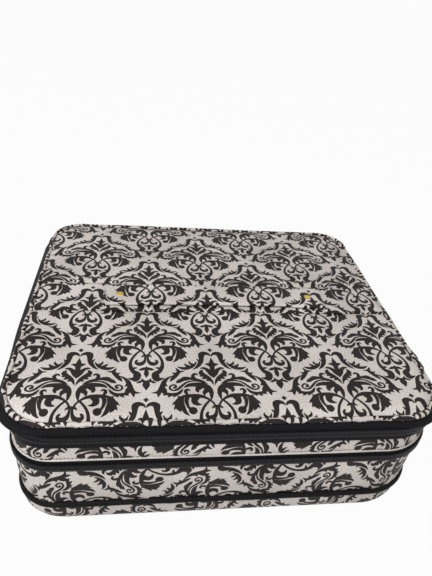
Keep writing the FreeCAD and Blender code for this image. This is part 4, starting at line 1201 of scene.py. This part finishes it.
stitched_down("brush_pocket_cloth", "brush_pocket", POCKET_SLOT, 0.5, LINING_CLOTH)
stitched_down("brush_elastic_loops", "brush_elastic", LOOP_PITCH, 1.0, ELASTIC)
seam_places = []
for node, pitch in (("brush_pocket", POCKET_SLOT), ("brush_elastic", LOOP_PITCH)):
    low, high = corners(node)
    thread_level = low.z + CLOTH_THIN + SEAM_THREAD_RISE
    for seam in range(1, math.ceil((high.x - low.x) / pitch)):
        for step in range(int((high.y - low.y) / STITCH_PITCH)):
            place = Vector((low.x + seam * pitch, low.y + (step + 0.5) * STITCH_PITCH, thread_level))
            seam_places.append(Matrix.Translation(place * MM) @ Matrix.Rotation(math.pi / 2, 4, "Z"))
holder_stitches = repeated("brush_holder_stitches", stitch, seam_places, GREY_THREAD)
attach(holder_stitches, "tray")
pocket_low, pocket_high = corners("brush_pocket")
pocket_binding = soft_block(
    "brush_pocket_binding", (pocket_low.x, pocket_high.y - POCKET_BOUND, pocket_low.z + POCKET_UNDER),
    (pocket_high.x, pocket_high.y + POCKET_OVER, pocket_high.z + POCKET_PROUD),
    POCKET_EDGE, BINDING_CLOTH, cuts=3)
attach(pocket_binding, "tray")


# Lid cover: two padded panels of printed cloth, cut separately and joined under the strap band.
# Each is drawn down into the seams at its edges and swells between them over thin foam.
LID_TOP = 127.4
LID_CROWN_RADIUS = 9570.0
LID_SAG = 0.7
PANEL_INSET = 8.4
BAND_HALF = 21.0
EDGE_DROP = 1.5
EDGE_REACH = 4.5
SEAM_DROP = 0.8
SEAM_REACH = 3.0
SKIRT = 6.0
FRONT_KNOT = (-13.25, -131.0)
REAR_KNOT = (-11.9, 58.4)
SIDE_IN = 2.5
FRONT_IN = -0.6
REAR_IN = 2.8
FRONT_CORNER = 43.0
REAR_CORNER = 35.0
SLACK_REACH = 20.0
DIMPLE = 0.35
DIMPLE_RUN = (23.0, 19.0)
DIMPLE_PHASE = (0.7, 1.9)
SLANT_FOLD = 0.25
SLANT_RUN = (41.0, 31.0)
panel_x = HALF_WIDTH - PANEL_INSET - SIDE_IN
panel_front = HALF_DEPTH - PANEL_INSET - FRONT_IN
panel_rear = HALF_DEPTH - PANEL_INSET - REAR_IN
panel_y = (panel_front + panel_rear) / 2
panel_shift = (panel_rear - panel_front) / 2


def inside_panel(x, y):
    """Distance in from the panel's rounded edge."""
    panel_corner = np.where(y > 0, REAR_CORNER, FRONT_CORNER) - PANEL_INSET
    qx = np.abs(x) - (panel_x - panel_corner)
    qy = np.abs(y - panel_shift) - (panel_y - panel_corner)
    outside = np.hypot(np.maximum(qx, 0), np.maximum(qy, 0)) + np.minimum(np.maximum(qx, qy), 0)
    return panel_corner - outside


def lid_crown(x, y):
    """Height of the lid's board and padding: nearly flat, and sunk a little in the middle by its weight."""
    return LID_TOP - y ** 2 / (2 * LID_CROWN_RADIUS) + LID_SAG * (x / HALF_WIDTH) ** 2


def lid_surface(flat):
    """The padded lid over its crown, with pulled seams and slack between them."""
    x, y = flat[:, 0], flat[:, 1]
    z = lid_crown(x, y)
    inward = np.maximum(inside_panel(x, y), 0)
    z -= EDGE_DROP * np.exp(-(inward / EDGE_REACH) ** 2)
    z -= SEAM_DROP * np.exp(-((np.abs(y) - BAND_HALF) / SEAM_REACH) ** 2)
    dimples = np.sin(x / DIMPLE_RUN[0] + DIMPLE_PHASE[0]) * np.sin(y / DIMPLE_RUN[1] + DIMPLE_PHASE[1])
    folds = SLANT_FOLD * np.sin(x / SLANT_RUN[0] - y / SLANT_RUN[1])
    z += np.minimum(inward / SLACK_REACH, 1) * (DIMPLE * dimples + folds)
    return np.column_stack((x, y, z))


lid_front = printed_sheet(
    "lid_front_panel", (-panel_x, -panel_front), (panel_x, -BAND_HALF), FRONT_KNOT, lid_surface,
    corner_trims(panel_x, panel_front, FRONT_CORNER - PANEL_INSET, ((1, -1), (-1, -1))))
lid_rear = printed_sheet(
    "lid_rear_panel", (-panel_x, BAND_HALF), (panel_x, panel_rear), REAR_KNOT, lid_surface,
    corner_trims(panel_x, panel_rear, REAR_CORNER - PANEL_INSET, ((1, 1), (-1, 1))))
for panel in (lid_front, lid_rear):
    tuck_under(panel, SKIRT)
    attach(panel, "lid")
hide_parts("lid_cover")


# Lid band: a doubled strip of the same cloth sewn across the lid over the joint of its two panels.
# It carries the strap's rivets and is pressed down along its sewn edges.
BAND_RISE = 0.9
BAND_SHORT = 0.6
BAND_PRESS = 0.7
BAND_REACH = 2.2
BAND_TUCK = 1.2
band_end = panel_x - BAND_SHORT


def band_surface(flat):
    """The strip lies on the padding, pressed down along its two sewn edges."""
    x, y = flat[:, 0], flat[:, 1]
    z = lid_crown(x, y) + BAND_RISE
    z -= BAND_PRESS * np.exp(-((np.abs(y) - BAND_HALF) / BAND_REACH) ** 2)
    z -= EDGE_DROP * np.exp(-((band_end - np.abs(x)) / EDGE_REACH) ** 2)
    return np.column_stack((x, y, z))


lid_band = printed_sheet(
    "lid_band_cloth", (-band_end, -BAND_HALF), (band_end, BAND_HALF), REAR_KNOT, band_surface)
tuck_under(lid_band, BAND_TUCK)
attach(lid_band, "lid")
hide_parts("lid_band")


# Lid piping: a cord wrapped in a bias strip of the printed cloth, sewn into the lid's edge seam.
# It follows the lid's own outline, which is a little smaller than the case's.
PIPING_INSET = 6.2
PIPING_RADIUS = 2.15
PIPING_SIDES = 12
PIPING_KNOT = (30.0, -1.25)
PIPING_CLOTH = 0.4
piping_low, piping_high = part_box("lid_piping")
piping_level = (piping_low.z + piping_high.z) / 2 / MM
piping_round = RoundSection(PIPING_INSET, piping_level, PIPING_RADIUS, PIPING_SIDES, wander=0.16, swell=0.06)
lid_scale = np.array(((HALF_WIDTH - SIDE_IN) / HALF_WIDTH, 1 - (FRONT_IN + REAR_IN) / 2 / HALF_DEPTH, 1))
lid_shift = np.array((0, panel_shift, 0))


def round_the_lid(flat):
    """The piping's place, round the lid's own smaller outline."""
    def inset(s, v):
        _, outward = rim(s)
        radius = np.where(outward[:, 1] > 0, REAR_CORNER, FRONT_CORNER)
        return piping_round.inset(s, v) - corner_push(s, radius)
    return round_the_case(inset, piping_round.height)(flat) * lid_scale + lid_shift


lid_piping = printed_sheet(
    "lid_piping_cord", (0, 0), (RIM_LENGTH, piping_round.marks[-1]), PIPING_KNOT, round_the_lid)
thick_cloth(lid_piping, PIPING_CLOTH)
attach(lid_piping, "lid")
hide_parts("lid_piping")


# Inside of the lid: black polyester lining stretched over the stiffener board.
# A black foam strip runs round it and keeps the zip gusset standing.
RIM_FOAM_INSET = 5.65
RIM_FOAM_DEPTH = 2.55
RIM_FOAM_SHORT = 2.0
FOAM_BLACK = woven_black(
    "black_rim_foam", (0.012, 0.012, 0.012), roughness=0.75, rib_scale=0.3, rib_axis="DIAGONAL", height=0.1)
foam_low, foam_high = levels("lid_rim_foam")
foam_outline = tape_outline(foam_low, foam_high - RIM_FOAM_SHORT, RIM_FOAM_INSET, RIM_FOAM_DEPTH, rows=3)
rim_foam = swept_strip("lid_rim_foam_strip", LINING_STEPS, OutlineSection(foam_outline), FOAM_BLACK)
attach(rim_foam, "lid")
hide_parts("lid_rim_foam")
lid_lining = cloth_slab(
    "lid_lining_cloth", PANEL_INSET, *levels("lid_lining"), edge=0.4, material=LINING_CLOTH)
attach(lid_lining, "lid")
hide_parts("lid_lining")
paint(FIBRE_BOARD, "lid_board")


# Carrying strap: webbing covered in the printed cloth, held by one rivet near each end.
# It stands just off the lid in the middle and lies flat under the rivets.
STRAP_HALF_WIDTH = 15.0
STRAP_THICK = 2.4
STRAP_END = 104.0
STRAP_TOUCH = 78.0
STRAP_CLEAR = 58.0
STRAP_RISE = 1.6
STRAP_EDGE = 1.2
STRAP_GAP = 0.15
STRAP_KNOT = (REAR_KNOT[0] + 2.0, REAR_KNOT[1] - 3.0)


def strap_surface(flat):
    """The strap's outer face, turned down at its long edges."""
    x, v = flat[:, 0], flat[:, 1]
    across_edge = np.clip(np.abs(v) - (STRAP_HALF_WIDTH - STRAP_EDGE), 0, STRAP_EDGE * math.pi / 2)
    turn = across_edge / STRAP_EDGE
    y = np.sign(v) * (np.minimum(np.abs(v), STRAP_HALF_WIDTH - STRAP_EDGE) + STRAP_EDGE * np.sin(turn))
    lift = eased((STRAP_TOUCH - np.abs(x)) / (STRAP_TOUCH - STRAP_CLEAR))
    face = lid_crown(x, 0 * y) + BAND_RISE + STRAP_GAP + STRAP_RISE * lift + STRAP_THICK
    return np.column_stack((x, y, face - STRAP_EDGE * (1 - np.cos(turn))))


wrap = STRAP_HALF_WIDTH - STRAP_EDGE + STRAP_EDGE * math.pi / 2
STRAP_HALVES = (
    (-1, "strap_left_half", ("handle_tail_left",)),
    (1, "strap_right_half", ("handle_tail_right", "handle_grip")))
for side, half_name, strap_nodes in STRAP_HALVES:
    span = sorted((0, side * STRAP_END))
    strap = printed_sheet(half_name, (span[0], -wrap), (span[1], wrap), STRAP_KNOT, strap_surface)
    tuck_under(strap, STRAP_THICK - STRAP_EDGE)
    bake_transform(strap)
    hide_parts(*strap_nodes)


# Rivets and their washers: pressed brass, polished by handling.
# The rivets go through strap, band and board, and are closed over the washers inside the lid.
BRASS = worn_finish("brass", (0.50, 0.36, 0.075), roughness=0.28, mottle_scale=400, metallic=1.0)
paint(BRASS, "handle_rivets", "rivet_washers")


# Zip sliders and pulls: die-cast zinc in glossy black paint, a pair on each zip's right side.
# A pull hangs on its slider's bail.
BLACK_METAL = worn_finish("black_enamel_metal", (0.012, 0.012, 0.013), roughness=0.26, mottle_scale=500)
for zip_name in ZIP_LEVELS:
    for part in ("slider_front", "slider_rear", "pull_front", "pull_rear"):
        paint(BLACK_METAL, f"{zip_name}_{part}")
